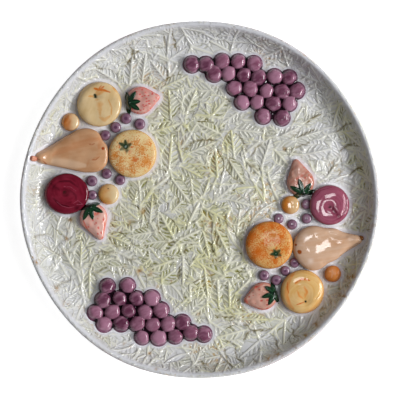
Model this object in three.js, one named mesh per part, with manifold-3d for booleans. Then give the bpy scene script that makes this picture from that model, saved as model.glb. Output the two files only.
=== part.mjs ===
// A glazed earthenware tart plate: a shallow dish on a foot ring, with moulded clay fruit luted to its well.
// Millimetres, +Z up, with the origin on the table under the middle of the dish.
import * as THREE from "three";
import { mergeVertices } from "three/addons/utils/BufferGeometryUtils.js";
import Module from "manifold-3d";

const wasm = await Module();
wasm.setup();

// Dish
const plateDiameter = 320;
const plateHeight = 28;
const wellDiameter = 268; // flat floor, inside the curve of the wall
const floorThickness = 6;
const lipThickness = 4.4; // rounded edge, and the wall just under it
const rimLean = 62; // degrees that the wall has turned up by where it meets the lip
const wallSweep = 0.6; // share of the wall's width that the floor's line runs on for, before the wall lifts
const wallRise = 0.56; // share of the wall's height that keeps the lean of the lip
const footInset = 26; // from the edge of the well in to the foot ring
const footWidth = 7;
const footHeight = 4;
const footDraft = 1.2; // each side of the foot ring leans in by this much
const footEase = 0.8; // eased edges under the foot ring
const rimWander = 0.6; // how far the hand-pressed edge strays from a true circle
const rimWaves = 6;

// Embossed ground: the main leaves of the sprays pressed into the floor, each with a raised midrib
const leafRidge = 1.1; // height of the midrib over the glaze
const leafRoot = 0.4; // a leaf's edge starts this far under the glaze, so that its flanks rise out of it
const leafShoulder = 0.36; // share of its length where a leaf is widest
const leafTaper = 0.74; // and where it has drawn in again
const leafTaperWidth = 0.62; // to this share of its width

// Slip that each luted piece is bedded in
const slipGap = 0.3;

// Fruit, across its widest line and up from its seat
const appleWidth = 38.8;
const appleHeight = 9.5;
const appleDimple = 1.6; // depth of the hollow round the eye
const orangeWidth = 42;
const orangeHeight = 10;
const orangeDimple = 0.6;
const plumWidth = 35.4;
const plumHeight = 9;
const plumDimple = 0.8;
const pearWidth = 40;
const pearHeight = 10;
const pearReach = 39.5; // from the middle of the bulb to the middle of the tip
const pearTip = 8; // across the round tip
const pearStemWidth = 4.8;
const pearStemHeight = 3;
const apricotOuterWidth = 15.4;
const apricotInnerWidth = 16.6;
const apricotHeight = 6.5;
const strawberryWidth = 24.8;
const strawberryHeight = 8;
const strawberryUpperReach = 14.8; // from the middle of the shoulders to the middle of the tip
const strawberryLowerReach = 18;
const strawberryTip = 6.4;
const crownLeafLength = 9.2; // from the nub at the fruit's stem end out to a leaf's point
const crownNub = 2.4; // from the nub's middle to the notches between the leaves
const crownThickness = 1.2;
const crownRidge = 0.5; // share of a leaf's length that is of full thickness
const crownLeaves = 5;
const crownFan = 240; // degrees that the leaves fan over
const crownDroop = 2.6; // leaf points past the fruit's shoulder hang this far above the glaze
const berryWidth = 8.6;
const berryHeight = 4.8;
const tuckHeight = 1.5; // the widest line of a fruit stands this far above its seat
const tuckDepth = 0.8; // and the seat lies this far inside it
const dimpleSpread = 0.24; // of the way from the eye out to the edge of the fruit

// Grape bunches: crowded domes in rows on one shared bed
const grapeWidth = 13.4;
const grapeHeight = 6.8;
const bedWidth = 15.4; // clay left round each grape
const bedHeight = 2.4;

// Where the groups stand, in from the plate's edge and round from +X, and how far each is turned.
// A garland is set out from the tip of its pear, close under the lip.
const pearTipInset = 13.6;
const pearTipBearing = 165;
const garlandTurns = { left: 0, right: 181.1 };
const bunchPlaces = {
  upper: { inset: 47.5, bearing: 65.4, turn: 0 },
  lower: { inset: 44.8, bearing: 243.6, turn: 184.8 },
};

// Each row of grapes runs evenly from its first grape to its last, about the middle of the bunch
const grapeRows = [
  { count: 5, first: [-54.5, 19.6], last: [1.5, 20.2] },
  { count: 6, first: [-34.8, 9.6], last: [33.5, 5.5] },
  { count: 5, first: [-16.6, -2.6], last: [39.9, -6.5] },
  { count: 4, first: [-9.7, -14.8], last: [33.1, -17.2] },
  { count: 2, first: [10, -27.7], last: [27.3, -29.2] },
];

// Main leaves, hand-set where the fruit leaves the floor bare: base, tip and width
const sprayLeaves = {
  middle: [
    [-12, 41, 17, 53, 14], [16, 19, 14, 47, 14], [31, 38, 28, 63, 19], [55, 29, 64, 56, 19],
    [24, 39, 41, 13, 14], [1, -6, 27, -20, 15], [-22, -37, -37, -10, 16], [-12, -38, -35, -49, 15],
    [-28, 25, -25, 56, 17], [-19, 31, 4, 19, 13], [-26, 20, -8, -4, 15], [-11, -23, 1, 1, 12],
    [23, 1, 48, -6, 13], [14, -25, 27, -51, 13], [3, -28, 9, -54, 12], [-19, -36, 3, -26, 11],
    [-45, -22, -42, 6, 13], [-42, 10, -26, 22, 11], [3, 3, 9, 19, 10],
  ],
  above: [
    [-26, 71, -28, 100, 20], [-13, 76, -2, 101, 15], [-44, 60, -16, 69, 13], [20, 58, -4, 70, 13],
    [30, 63, 58, 60, 14], [-63, 102, -60, 132, 14], [-52, 104, -48, 134, 13], [-30, 106, -46, 127, 14],
    [-72, 104, -95, 119, 14], [-34, 100, -9, 112, 13],
  ],
  right: [
    [68, 55, 92, 66, 12], [66, 46, 82, 28, 14], [40, 37, 56, 20, 12], [84, 54, 113, 63, 13],
    [91, 68, 112, 78, 11], [92, 40, 120, 46, 15], [114, 19, 127, 40, 15],
  ],
  left: [
    [-107, -61, -106, -36, 14], [-113, -62, -124, -42, 13], [-104, -58, -75, -52, 13],
    [-99, -62, -99, -90, 13], [-84, -31, -58, -42, 13], [-40, -29, -66, -33, 12], [-74, -47, -50, -59, 13],
    [-22, -54, -49, -63, 13], [-15, -50, -15, -79, 13],
  ],
  below: [
    [4, -60, 8, -92, 11], [17, -97, 16, -69, 15], [27, -99, 26, -70, 13], [42, -101, 12, -105, 12],
    [35, -107, 64, -108, 11], [44, -116, 14, -124, 14], [31, -85, 47, -70, 12], [22, -66, 44, -56, 12],
  ],
};

// Facets
const plateSides = 66;
const wallSteps = 7;
const undersideSteps = 4;
const lipSteps = 5;
const grapeSides = 8;
const grapeRings = 6;
const bedSides = 7;
const leafSides = 4;
const nubSides = 4;

const plateRadius = plateDiameter / 2;
const wellRadius = wellDiameter / 2;
const floorTop = footHeight + floorThickness;
const lipRadius = lipThickness / 2;

const { degToRad, clamp, lerp } = THREE.MathUtils;

// Glazed side of the wall, in radius and height, from the flat floor up to the lip
const lean = degToRad(rimLean);
const lipCentre = new THREE.Vector2(plateRadius - lipRadius, plateHeight - lipRadius);
const wallStart = new THREE.Vector2(wellRadius, floorTop);
const wallEnd = new THREE.Vector2(-Math.sin(lean), Math.cos(lean)).multiplyScalar(lipRadius).add(lipCentre);
const wallTop = wallRise * (wallEnd.y - wallStart.y);
const wall = new THREE.CubicBezierCurve(
  wallStart,
  new THREE.Vector2(lerp(wallStart.x, wallEnd.x, wallSweep), wallStart.y),
  new THREE.Vector2(-Math.cos(lean), -Math.sin(lean)).multiplyScalar(wallTop).add(wallEnd),
  wallEnd,
);

// Stray of the hand-pressed edge at a radius and angle: none on the floor, most at the lip
function strayAt(radius, angle) {
  const share = clamp((radius - wellRadius) / (plateRadius - wellRadius), 0, 1);
  return rimWander * share * share * Math.cos(rimWaves * angle);
}

// Height and steepness of the glaze at a radius and angle
function glazeAt(radius, angle) {
  const level = radius - strayAt(radius, angle);
  if (level <= wellRadius) return { height: floorTop, slope: 0 };
  let low = 0;
  let high = 1;
  for (let halving = 0; halving < 30; halving += 1) {
    const middle = (low + high) / 2;
    if (wall.getPoint(middle).x < level) low = middle;
    else high = middle;
  }
  const way = wall.getTangent(high);
  return { height: wall.getPoint(high).y, slope: Math.atan2(way.y, way.x) };
}

// Moves a point from a flat bench on to the dish: its z becomes its distance square to the glaze
function onDish(point) {
  const radius = Math.hypot(point.x, point.y);
  const { height, slope } = glazeAt(radius, Math.atan2(point.y, point.x));
  const drawnIn = radius > 0 ? 1 - (Math.sin(slope) * point.z) / radius : 1;
  return point.set(point.x * drawnIn, point.y * drawnIn, height + Math.cos(slope) * point.z);
}

// Revolves a profile of radius and height about +Z, and gives the solid the edge's stray
function dishGeometry(profile) {
  const geometry = new THREE.LatheGeometry(profile, plateSides);
  const at = geometry.attributes.position;
  for (let i = 0; i < at.count; i += 1) {
    const { x: radius, y: height } = profile[i % profile.length];
    const angle = (2 * Math.PI * Math.floor(i / profile.length)) / plateSides;
    const strayed = radius + strayAt(radius, angle);
    at.setXYZ(i, strayed * Math.cos(angle), strayed * Math.sin(angle), height);
  }
  return geometry;
}

// Points of the wall set off square to it: inwards over the glaze, or down to its underside
function wallOffset(steps, distanceAt) {
  const points = [];
  for (let step = 0; step <= steps; step += 1) {
    const t = step / steps;
    const way = wall.getTangent(t);
    points.push(new THREE.Vector2(-way.y, way.x).multiplyScalar(distanceAt(t)).add(wall.getPoint(t)));
  }
  return points;
}

function plateProfile() {
  const lip = [];
  for (let step = 1; step < lipSteps; step += 1) {
    const angle = lean + Math.PI / 2 - (Math.PI * step) / lipSteps;
    lip.push(new THREE.Vector2(Math.cos(angle), Math.sin(angle)).multiplyScalar(lipRadius).add(lipCentre));
  }
  const underside = wallOffset(undersideSteps, (t) => -lerp(floorThickness, lipThickness, t)).reverse();
  const footOuter = wellRadius - footInset;
  const footInner = footOuter - footWidth;
  const foot = [
    [footOuter, footHeight],
    [footOuter - footDraft, footEase],
    [footOuter - footDraft - footEase, 0],
    [footInner + footDraft + footEase, 0],
    [footInner + footDraft, footEase],
    [footInner, footHeight],
  ].map(([radius, height]) => new THREE.Vector2(radius, height));
  const top = [new THREE.Vector2(0, floorTop), ...wallOffset(wallSteps, () => 0)];
  return [...top, ...lip, ...underside, ...foot, new THREE.Vector2(0, footHeight)].reverse();
}

// Everything up to a set distance over the glaze, for cutting seats that follow it
function dishCutter(distance) {
  const depth = -plateHeight;
  const brim = plateRadius * 2;
  const over = wallOffset(wallSteps, () => distance);
  const top = over[over.length - 1].y;
  const profile = [
    new THREE.Vector2(0, floorTop + distance),
    ...over,
    new THREE.Vector2(brim, top),
    new THREE.Vector2(brim, depth),
    new THREE.Vector2(0, depth),
  ];
  return dishGeometry(profile.reverse());
}

// One leaf on a flat bench: a pointed roof over its midrib, from its base to its tip
function leafGeometry([x, y, tipX, tipY, width]) {
  const base = new THREE.Vector2(x, y);
  const along = new THREE.Vector2(tipX, tipY).sub(base);
  const across = new THREE.Vector2(-along.y, along.x).normalize().multiplyScalar(width / 2);
  const at = [];
  const put = (share, side, height) => {
    const point = base.clone().addScaledVector(along, share).addScaledVector(across, side);
    const laid = onDish(new THREE.Vector3(point.x, point.y, height));
    at.push(laid.x, laid.y, laid.z);
  };
  put(0, 0, -leafRoot);
  for (const [share, half] of [[leafShoulder, 1], [leafTaper, leafTaperWidth]]) {
    put(share, half, -leafRoot);
    put(share, 0, leafRidge);
    put(share, -half, -leafRoot);
  }
  put(1, 0, -leafRoot);
  const geometry = new THREE.BufferGeometry();
  geometry.setAttribute("position", new THREE.Float32BufferAttribute(at, 3));
  const flanks = [0, 2, 1, 0, 3, 2, 1, 2, 5, 1, 5, 4, 2, 3, 6, 2, 6, 5, 4, 5, 7, 5, 6, 7];
  const back = [0, 1, 3, 1, 4, 6, 1, 6, 3, 4, 7, 6];
  geometry.setIndex([...flanks, ...back]);
  return geometry;
}

// Closed solid from a geometry, for joining and cutting
function solidOf(geometry) {
  const bare = new THREE.BufferGeometry();
  bare.setAttribute("position", geometry.attributes.position.clone());
  bare.setIndex(geometry.index.clone());
  const merged = mergeVertices(bare, 1e-3);
  const corners = [];
  const index = merged.index.array;
  for (let i = 0; i < index.length; i += 3) {
    const [a, b, c] = [index[i], index[i + 1], index[i + 2]];
    if (a !== b && b !== c && c !== a) corners.push(a, b, c);
  }
  const mesh = new wasm.Mesh({
    numProp: 3,
    vertProperties: new Float32Array(merged.attributes.position.array),
    triVerts: new Uint32Array(corners),
  });
  return new wasm.Manifold(mesh);
}

function geometryOf(solid) {
  const { vertProperties, triVerts } = solid.getMesh();
  const geometry = new THREE.BufferGeometry();
  geometry.setAttribute("position", new THREE.BufferAttribute(vertProperties, 3));
  geometry.setIndex(new THREE.BufferAttribute(triVerts, 1));
  return geometry;
}

// Radius of a teardrop, a round bulb drawn out to a round tip, at an angle from the tip
function teardropRadius({ bulb, tip, reach }, angle) {
  const turn = Math.abs(Math.atan2(Math.sin(angle), Math.cos(angle)));
  const flank = Math.acos((bulb - tip) / reach);
  if (turn >= flank) return bulb;
  const tipEdge = Math.atan2(tip * Math.sin(flank), reach + tip * Math.cos(flank));
  if (turn >= tipEdge) return bulb / Math.cos(flank - turn);
  const miss = reach * Math.sin(turn);
  return reach * Math.cos(turn) + Math.sqrt(tip * tip - miss * miss);
}

// Height of a fruit's rounded top where it has swelled to a share of its outline
function domeHeight({ height, fullness }, share) {
  const swell = Math.asin(clamp(share, 0, 1) ** (1 / fullness));
  return tuckHeight + (height - tuckHeight) * Math.max(Math.cos(swell), 0) ** fullness;
}

// Side profile of a fruit, as shares of its outline and heights, from the middle of its seat up to its crown
function fruitProfile(fruit, grown) {
  const { height, fullness, dimple, domeSteps, seatSteps, width } = fruit;
  const profile = [];
  for (let step = 0; step <= domeSteps; step += 1) {
    const share = Math.sin((Math.PI / 2) * (step / domeSteps)) ** fullness;
    const hollow = dimple * Math.exp(-((share / dimpleSpread) ** 2));
    profile.push(new THREE.Vector2(share, domeHeight({ height, fullness }, share) - hollow + grown));
  }
  const seat = grown > 0 ? -tuckHeight : slipGap;
  const seatShare = grown > 0 ? 1 : 1 - (2 * tuckDepth) / width;
  for (let step = 0; step <= seatSteps; step += 1) {
    profile.push(new THREE.Vector2(seatShare * (1 - step / seatSteps), seat));
  }
  return profile.reverse();
}

// Revolves the side profile and draws each ring out to the fruit's own outline, on a flat bench
function fruitGeometry(fruit, grown = 0) {
  const profile = fruitProfile(fruit, grown);
  const geometry = new THREE.LatheGeometry(profile, fruit.sides);
  const at = geometry.attributes.position;
  for (let i = 0; i < at.count; i += 1) {
    const { x: share, y: height } = profile[i % profile.length];
    const round = (2 * Math.PI * Math.floor(i / profile.length)) / fruit.sides;
    const angle = round - fruit.crowding * Math.sin(round);
    const radius = share * (fruit.radiusAt(angle) + grown);
    const towardsEye = (1 - share) ** 2;
    at.setXYZ(
      i,
      radius * Math.cos(angle) + fruit.eye[0] * towardsEye,
      radius * Math.sin(angle) + fruit.eye[1] * towardsEye,
      height,
    );
  }
  return geometry;
}

// Turns of the crown's edge: in and out of each leaf across the fan, then round the back of the nub
function crownAngles() {
  const half = degToRad(crownFan) / 2;
  const steps = crownLeaves * leafSides;
  const fan = Array.from({ length: steps }, (_, i) => lerp(-half, half, i / steps));
  const back = Array.from({ length: nubSides }, (_, i) => lerp(half, 2 * Math.PI - half, i / nubSides));
  return [...fan, ...back];
}

// Distance from the nub's middle to the crown's edge
function crownRadius(angle) {
  const turn = Math.atan2(Math.sin(angle), Math.cos(angle));
  const half = degToRad(crownFan) / 2;
  const leaf = (1 - Math.cos((Math.PI * crownLeaves * (turn + half)) / half)) / 2;
  return Math.abs(turn) < half ? lerp(crownNub, crownLeafLength, leaf) : crownNub;
}

// Leaf crown on a flat bench over its fruit: a thin fan of leaves whose nub lies on the fruit's stem end
function crownGeometry(fruit) {
  const angles = crownAngles();
  const bevelStart = 0.96; // share of a leaf's length
  const profile = [
    [0, 0],
    [crownRidge, 0],
    [bevelStart, 0],
    [1, crownThickness / 2],
    [crownRidge, crownThickness],
    [0, crownThickness],
  ].map(([share, height]) => new THREE.Vector2(share, height));
  const geometry = new THREE.LatheGeometry(profile, angles.length);
  const at = geometry.attributes.position;
  const stemEnd = crownNub - fruit.width / 2;
  for (let i = 0; i < at.count; i += 1) {
    const { x: share, y: height } = profile[i % profile.length];
    const angle = angles[Math.floor(i / profile.length) % angles.length];
    const radius = share * crownRadius(angle);
    const x = stemEnd + radius * Math.cos(angle);
    const y = radius * Math.sin(angle);
    const swollen = Math.hypot(x, y) / fruit.radiusAt(Math.atan2(y, x));
    const carried = swollen < 1 ? Math.max(domeHeight(fruit, swollen), crownDroop) : crownDroop;
    at.setXYZ(i, x, y, carried + 2 * slipGap + height);
  }
  return geometry;
}

function place(mesh, geometry) {
  mesh.updateWorldMatrix(true, false);
  const laid = geometry.clone();
  const at = laid.attributes.position;
  const point = new THREE.Vector3();
  for (let i = 0; i < at.count; i += 1) {
    mesh.localToWorld(point.fromBufferAttribute(at, i));
    onDish(point);
    at.setXYZ(i, point.x, point.y, point.z);
  }
  return laid;
}

// Solids that what is luted on later is pressed back from
const keepClear = [];

function boxesMeet(a, b) {
  return [0, 1, 2].every((axis) => a.min[axis] <= b.max[axis] && b.min[axis] <= a.max[axis]);
}

// Lays a piece on the dish, presses it back from its neighbours and keeps later pieces clear of it
function lute(mesh, geometry, grownGeometry, carrier = null) {
  let solid = solidOf(place(mesh, geometry));
  for (const { owner, room } of keepClear) {
    if (owner !== carrier && boxesMeet(solid.boundingBox(), room.boundingBox())) solid = solid.subtract(room);
  }
  keepClear.push({ owner: mesh, room: solidOf(place(mesh, grownGeometry)) });
  mesh.geometry = geometryOf(solid).applyMatrix4(mesh.matrixWorld.clone().invert());
}

function glazed(name, color) {
  const mesh = new THREE.Mesh();
  mesh.material = new THREE.MeshStandardMaterial({ color, roughness: 0.2, metalness: 0 });
  mesh.name = name;
  return mesh;
}

// A plain round fruit: how full its shoulders are, how its eye lies off its middle, and its facets,
// which crowd towards the tip of a drawn-out fruit
const round = { fullness: 0.82, dimple: 0, eye: [0, 0], crowding: 0, sides: 20, domeSteps: 5, seatSteps: 2 };

function roundFruit(width, height, rest = {}) {
  return { ...round, width, height, radiusAt: () => width / 2, ...rest };
}

function tearFruit(width, height, tip, reach, rest = {}) {
  const outline = { bulb: width / 2, tip: tip / 2, reach };
  const radiusAt = (angle) => teardropRadius(outline, angle);
  return { ...round, width, height, radiusAt, crowding: 0.5, ...rest };
}

const apple = roundFruit(appleWidth, appleHeight, { dimple: appleDimple, eye: [-2.9, 6.7] });
const orange = roundFruit(orangeWidth, orangeHeight, { dimple: orangeDimple, eye: [-5.5, 6.5] });
const plum = roundFruit(plumWidth, plumHeight, { dimple: plumDimple, eye: [-1.2, 0.8] });
const pear = tearFruit(pearWidth, pearHeight, pearTip, pearReach, { sides: 24, seatSteps: 3 });
const pellet = { fullness: 1, sides: 8, domeSteps: 3, seatSteps: 1 };
const pearStem = roundFruit(pearStemWidth, pearStemHeight, pellet);
const small = { fullness: 0.9, sides: 14, domeSteps: 4, seatSteps: 1 };
const apricotOuter = roundFruit(apricotOuterWidth, apricotHeight, small);
const apricotInner = roundFruit(apricotInnerWidth, apricotHeight, small);
const shouldered = { sides: 18, domeSteps: 5, seatSteps: 2 };
const strawberryUpper = tearFruit(
  strawberryWidth, strawberryHeight, strawberryTip, strawberryUpperReach, shouldered,
);
const strawberryLower = tearFruit(
  strawberryWidth, strawberryHeight, strawberryTip, strawberryLowerReach, shouldered,
);
const berry = roundFruit(berryWidth, berryHeight, { fullness: 0.95, sides: 10, domeSteps: 3, seatSteps: 1 });

// Hand-set places about the middle of a garland, before it is turned, with the degrees that a drawn-out fruit
// points to
const pearPlace = [-41.6, 2.4, 188.8];
const garlandFruit = [
  { name: "orange", fruit: orange, color: 0xdcb478, left: [0.9, 0], right: [-0.9, -0.1] },
  { name: "apple", fruit: apple, color: 0xdfc08c, left: [-28.8, 42.9], right: [-29.3, 42.2] },
  { name: "plum", fruit: plum, color: 0x842840, left: [-56.6, -35.4], right: [-55.2, -34.9] },
  { name: "pear", fruit: pear, color: 0xce9f7c, left: pearPlace, right: pearPlace },
  { name: "apricot_outer", fruit: apricotOuter, color: 0xcc8434, left: [-54, 27.8], right: [-56.8, 26.8] },
  { name: "apricot_inner", fruit: apricotInner, color: 0xcc8434, left: [-21, -35.6], right: [-19.4, -35.4] },
  {
    name: "strawberry_upper", fruit: strawberryUpper, color: 0xe6b0a6, crown: "strawberry_crown_upper",
    left: [7.1, 46.2, 10.7], right: [5.9, 45.5, 13.7],
  },
  {
    name: "strawberry_lower", fruit: strawberryLower, color: 0xe6b0a6, crown: "strawberry_crown_lower",
    left: [-33, -55.2, -70.4], right: [-29.9, -55.5, -78.2],
  },
];

const berryPlaces = [
  { left: [-5.3, 30.5], right: [-6.1, 31.5] },
  { left: [6.8, 25.9], right: [4.6, 27.2] },
  { left: [-14, 22.8], right: [-13.9, 23] },
  { left: [-22.6, 16.6], right: [-22.8, 16.9] },
  { left: [-22.2, -18.1], right: [-21.4, -18.1] },
  { left: [-34.6, -24.2], right: [-34.2, -23] },
  { left: [-10.3, -23.9], right: [-8.7, -24.8] },
  { left: [-33.7, -36.4], right: [-32.6, -35.6] },
];

function polar(radius, degrees) {
  return new THREE.Vector2(radius, 0).rotateAround(new THREE.Vector2(), degToRad(degrees));
}

function addFruit(group, name, color, fruit, x, y, degrees) {
  const mesh = glazed(name, color);
  mesh.position.set(x, y, 0);
  mesh.rotation.z = degToRad(degrees);
  group.add(mesh);
  lute(mesh, fruitGeometry(fruit), fruitGeometry(fruit, slipGap));
  return mesh;
}

function addCrown(group, name, strawberry, fruit) {
  const crown = glazed(name, 0x1c4a2c);
  crown.position.copy(strawberry.position);
  crown.rotation.copy(strawberry.rotation);
  group.add(crown);
  const leaves = crownGeometry(fruit);
  lute(crown, leaves, leaves, strawberry);
}

// Pellet of clay at the pear's tip
function addPearStem(group, name, at, degrees) {
  const past = polar(pearReach + pearTip / 2 + slipGap + pearStemWidth / 2, degrees);
  addFruit(group, name, 0xc08a72, pearStem, at.x + past.x, at.y + past.y, degrees);
}

// Middle of a garland, in from the tip of its pear by the pear's own length
function garlandMiddle() {
  const [x, y, points] = pearPlace;
  const bulb = polar(plateRadius - pearTipInset, pearTipBearing).sub(polar(pearReach, points));
  return bulb.sub(new THREE.Vector2(x, y));
}

function buildGarland(side) {
  const group = new THREE.Group();
  group.rotation.z = degToRad(garlandTurns[side]);
  const middle = garlandMiddle();
  const oneBerry = { fruit: berry, color: 0x7a5678 };
  const berries = berryPlaces.map((places, i) => ({ name: `berry_${i + 1}`, ...oneBerry, ...places }));
  for (const piece of [...garlandFruit, ...berries]) {
    const [x, y, points = 0] = piece[side];
    const at = new THREE.Vector2(x, y).add(middle);
    const mesh = addFruit(group, `${piece.name}_${side}`, piece.color, piece.fruit, at.x, at.y, points);
    if (piece.crown) addCrown(group, `${piece.crown}_${side}`, mesh, piece.fruit);
    if (piece.fruit === pear) addPearStem(group, `pear_stem_${side}`, at, points);
  }
  return group;
}

// Every grape of a bunch, from the first of the top row to the last of the bottom row
function grapeCentres() {
  return grapeRows.flatMap(({ count, first, last }) =>
    Array.from({ length: count }, (_, i) => {
      const share = i / (count - 1);
      return new THREE.Vector3(lerp(first[0], last[0], share), lerp(first[1], last[1], share), 0);
    }),
  );
}

// One grape and the clay round its foot, upright over its place on the dish
function grapeSolid(centre, grown) {
  const seat = onDish(centre.clone());
  const dome = new THREE.SphereGeometry(grapeWidth / 2 + grown, grapeSides, grapeRings);
  dome.rotateX(Math.PI / 2);
  dome.scale(1, 1, (grapeHeight - tuckHeight + grown) / (grapeWidth / 2 + grown));
  dome.translate(seat.x, seat.y, seat.z + tuckHeight);
  const depth = grapeHeight;
  const bedRadius = bedWidth / 2 + grown;
  const bed = new THREE.CylinderGeometry(bedRadius, bedRadius, bedHeight + depth, bedSides);
  bed.rotateX(Math.PI / 2);
  bed.translate(seat.x, seat.y, seat.z + (bedHeight - depth) / 2);
  return solidOf(dome).add(solidOf(bed));
}

function buildBunch(name, { inset, bearing, turn }) {
  const mesh = glazed(name, 0x80546e);
  const middle = polar(plateRadius - inset, bearing);
  mesh.position.set(middle.x, middle.y, 0);
  mesh.rotation.z = degToRad(turn);
  mesh.updateWorldMatrix(true, false);
  const places = grapeCentres().map((centre) => mesh.localToWorld(centre));
  const gather = (grown) =>
    places.map((centre) => grapeSolid(centre, grown)).reduce((sum, one) => sum.add(one));
  const solid = gather(0).subtract(solidOf(dishCutter(slipGap)));
  keepClear.push({ owner: mesh, room: gather(slipGap) });
  mesh.geometry = geometryOf(solid).applyMatrix4(mesh.matrixWorld.clone().invert());
  return mesh;
}

// The dish and its leaves, which stop short of the seats of the fruit
function embossedDish() {
  let leaves = Object.values(sprayLeaves).flat().map((leaf) => solidOf(leafGeometry(leaf)));
  for (const { room } of keepClear) {
    const pressed = (leaf) => boxesMeet(leaf.boundingBox(), room.boundingBox());
    leaves = leaves.map((leaf) => (pressed(leaf) ? leaf.subtract(room) : leaf));
  }
  return leaves.reduce((sum, leaf) => sum.add(leaf), solidOf(dishGeometry(plateProfile())));
}

const plateBody = glazed("plate_body", 0xd6d6dc);

const tartPlate = new THREE.Group();
tartPlate.add(plateBody);
tartPlate.add(buildBunch("grape_bunch_upper", bunchPlaces.upper));
tartPlate.add(buildBunch("grape_bunch_lower", bunchPlaces.lower));
tartPlate.add(buildGarland("left"));
tartPlate.add(buildGarland("right"));
plateBody.geometry = geometryOf(embossedDish());

export default tartPlate;
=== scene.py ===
import bpy
import math
import numpy as np
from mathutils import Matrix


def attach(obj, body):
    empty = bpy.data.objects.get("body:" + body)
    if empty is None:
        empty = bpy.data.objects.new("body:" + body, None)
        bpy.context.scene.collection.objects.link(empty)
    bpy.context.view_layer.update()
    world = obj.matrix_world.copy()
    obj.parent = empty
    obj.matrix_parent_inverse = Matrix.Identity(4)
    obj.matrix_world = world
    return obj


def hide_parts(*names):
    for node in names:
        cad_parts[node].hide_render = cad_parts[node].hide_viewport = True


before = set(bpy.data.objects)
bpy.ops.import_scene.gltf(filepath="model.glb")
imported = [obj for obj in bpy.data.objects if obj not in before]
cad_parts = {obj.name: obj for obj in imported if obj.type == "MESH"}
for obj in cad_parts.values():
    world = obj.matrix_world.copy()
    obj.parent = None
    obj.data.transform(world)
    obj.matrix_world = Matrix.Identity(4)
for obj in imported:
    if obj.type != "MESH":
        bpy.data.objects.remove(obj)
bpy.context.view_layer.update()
print("frame loaded with", len(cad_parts), "nodes")

mm = 0.001  # in metres
sides, levels = ("left", "right"), ("upper", "lower")

# Form of the dish, as in the solids, in metres
dish = {
    "radius": 0.160,
    "height": 0.028,
    "well": 0.134,  # flat floor, inside the curve of the wall
    "floorTop": 0.010,
    "floorThickness": 0.006,
    "lip": 0.0022,  # radius of the rounded edge
    "rimLean": 62,  # degrees that the wall has turned up by at the lip
    "wallSweep": 0.6,
    "wallRise": 0.56,
    "wander": 0.0006,  # stray of the hand-pressed edge
    "waves": 6,
    "footOuter": 0.108,
    "footInner": 0.101,
    "footDraft": 0.0012,
    "footEase": 0.0008,
    "footHeight": 0.004,
    "underRing": 0.05,  # a ring of points inside the foot
}


def tint(red, green, blue):  # a colour as it is read off a screen
    shares = [channel / 255 for channel in (red, green, blue)]
    return tuple(s / 12.92 if s <= 0.04045 else ((s + 0.055) / 1.055) ** 2.4 for s in shares) + (1,)


def rampUp(values, low, high):  # 0 at low, 1 at high, smooth between
    share = np.clip((values - low) / (high - low), 0, 1)
    return share * share * (3 - 2 * share)


def inPlan(angle):  # unit steps, a row for each angle
    return np.column_stack([np.cos(angle), np.sin(angle)])


def headed(angle):  # the same for one angle
    return np.array([math.cos(angle), math.sin(angle)])


def turnPlan(points, turn):
    c, s = math.cos(turn), math.sin(turn)
    return np.column_stack([points[:, 0] * c - points[:, 1] * s, points[:, 0] * s + points[:, 1] * c])


lipMiddle = np.array([dish["radius"] - dish["lip"], dish["height"] - dish["lip"]])


def lipArc(turns):  # radius and height on the rounded edge
    return lipMiddle + dish["lip"] * inPlan(turns)


def wallCurve(steps):  # radius and height of the glazed wall, from the floor up to the lip
    lean = math.radians(dish["rimLean"])
    start = np.array([dish["well"], dish["floorTop"]])
    end = lipMiddle + dish["lip"] * np.array([-math.sin(lean), math.cos(lean)])
    low = np.array([start[0] + dish["wallSweep"] * (end[0] - start[0]), start[1]])
    high = end - dish["wallRise"] * (end[1] - start[1]) * headed(lean)
    t = np.linspace(0, 1, steps)[:, None]
    return (1 - t) ** 3 * start + 3 * (1 - t) ** 2 * t * low + 3 * (1 - t) * t * t * high + t**3 * end


wall = wallCurve(400)
wallStep = np.diff(wall, axis=0)
wallSlope = np.append(np.arctan2(wallStep[:, 1], wallStep[:, 0]), math.radians(dish["rimLean"]))


def strayAt(radius, angle):
    share = np.clip((radius - dish["well"]) / (dish["radius"] - dish["well"]), 0, 1)
    return dish["wander"] * share**2 * np.cos(dish["waves"] * angle)


def layOnDish(bench):  # x, y and a height on a flat bench become a point square to the glaze
    radius = np.hypot(bench[:, 0], bench[:, 1])
    level = radius - strayAt(radius, np.arctan2(bench[:, 1], bench[:, 0]))
    height = np.interp(level, wall[:, 0], wall[:, 1])
    slope = np.interp(level, wall[:, 0], wallSlope)
    drawnIn = 1 - np.sin(slope) * bench[:, 2] / np.maximum(radius, 1e-6)
    return np.column_stack([bench[:, :2] * drawnIn[:, None], height + np.cos(slope) * bench[:, 2]])


# Small helpers for meshes
def deselectAll():
    if bpy.context.object and bpy.context.object.mode != "OBJECT":
        bpy.ops.object.mode_set(mode="OBJECT")
    bpy.ops.object.select_all(action="DESELECT")


def takePiece(name):  # the primitive that was just added
    piece = bpy.context.object
    piece.name = name
    piece.data.name = name
    return piece


def pickOnly(*pieces):
    deselectAll()
    for piece in pieces:
        piece.select_set(True)
    bpy.context.view_layer.objects.active = pieces[0]


def editAll(piece):
    pickOnly(piece)
    bpy.ops.object.mode_set(mode="EDIT")
    bpy.ops.mesh.select_all(action="SELECT")


def readPoints(piece):
    flat = np.empty(len(piece.data.vertices) * 3, np.float32)
    piece.data.vertices.foreach_get("co", flat)
    return flat.reshape(-1, 3).astype(float)


def movePoints(piece, points):
    piece.data.vertices.foreach_set("co", points.astype(np.float32).ravel())
    piece.data.update()


def keepMask(piece, name, values, domain="POINT"):
    mask = piece.data.attributes.new(name, "FLOAT", domain)
    mask.data.foreach_set("value", values.astype(np.float32))


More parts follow.
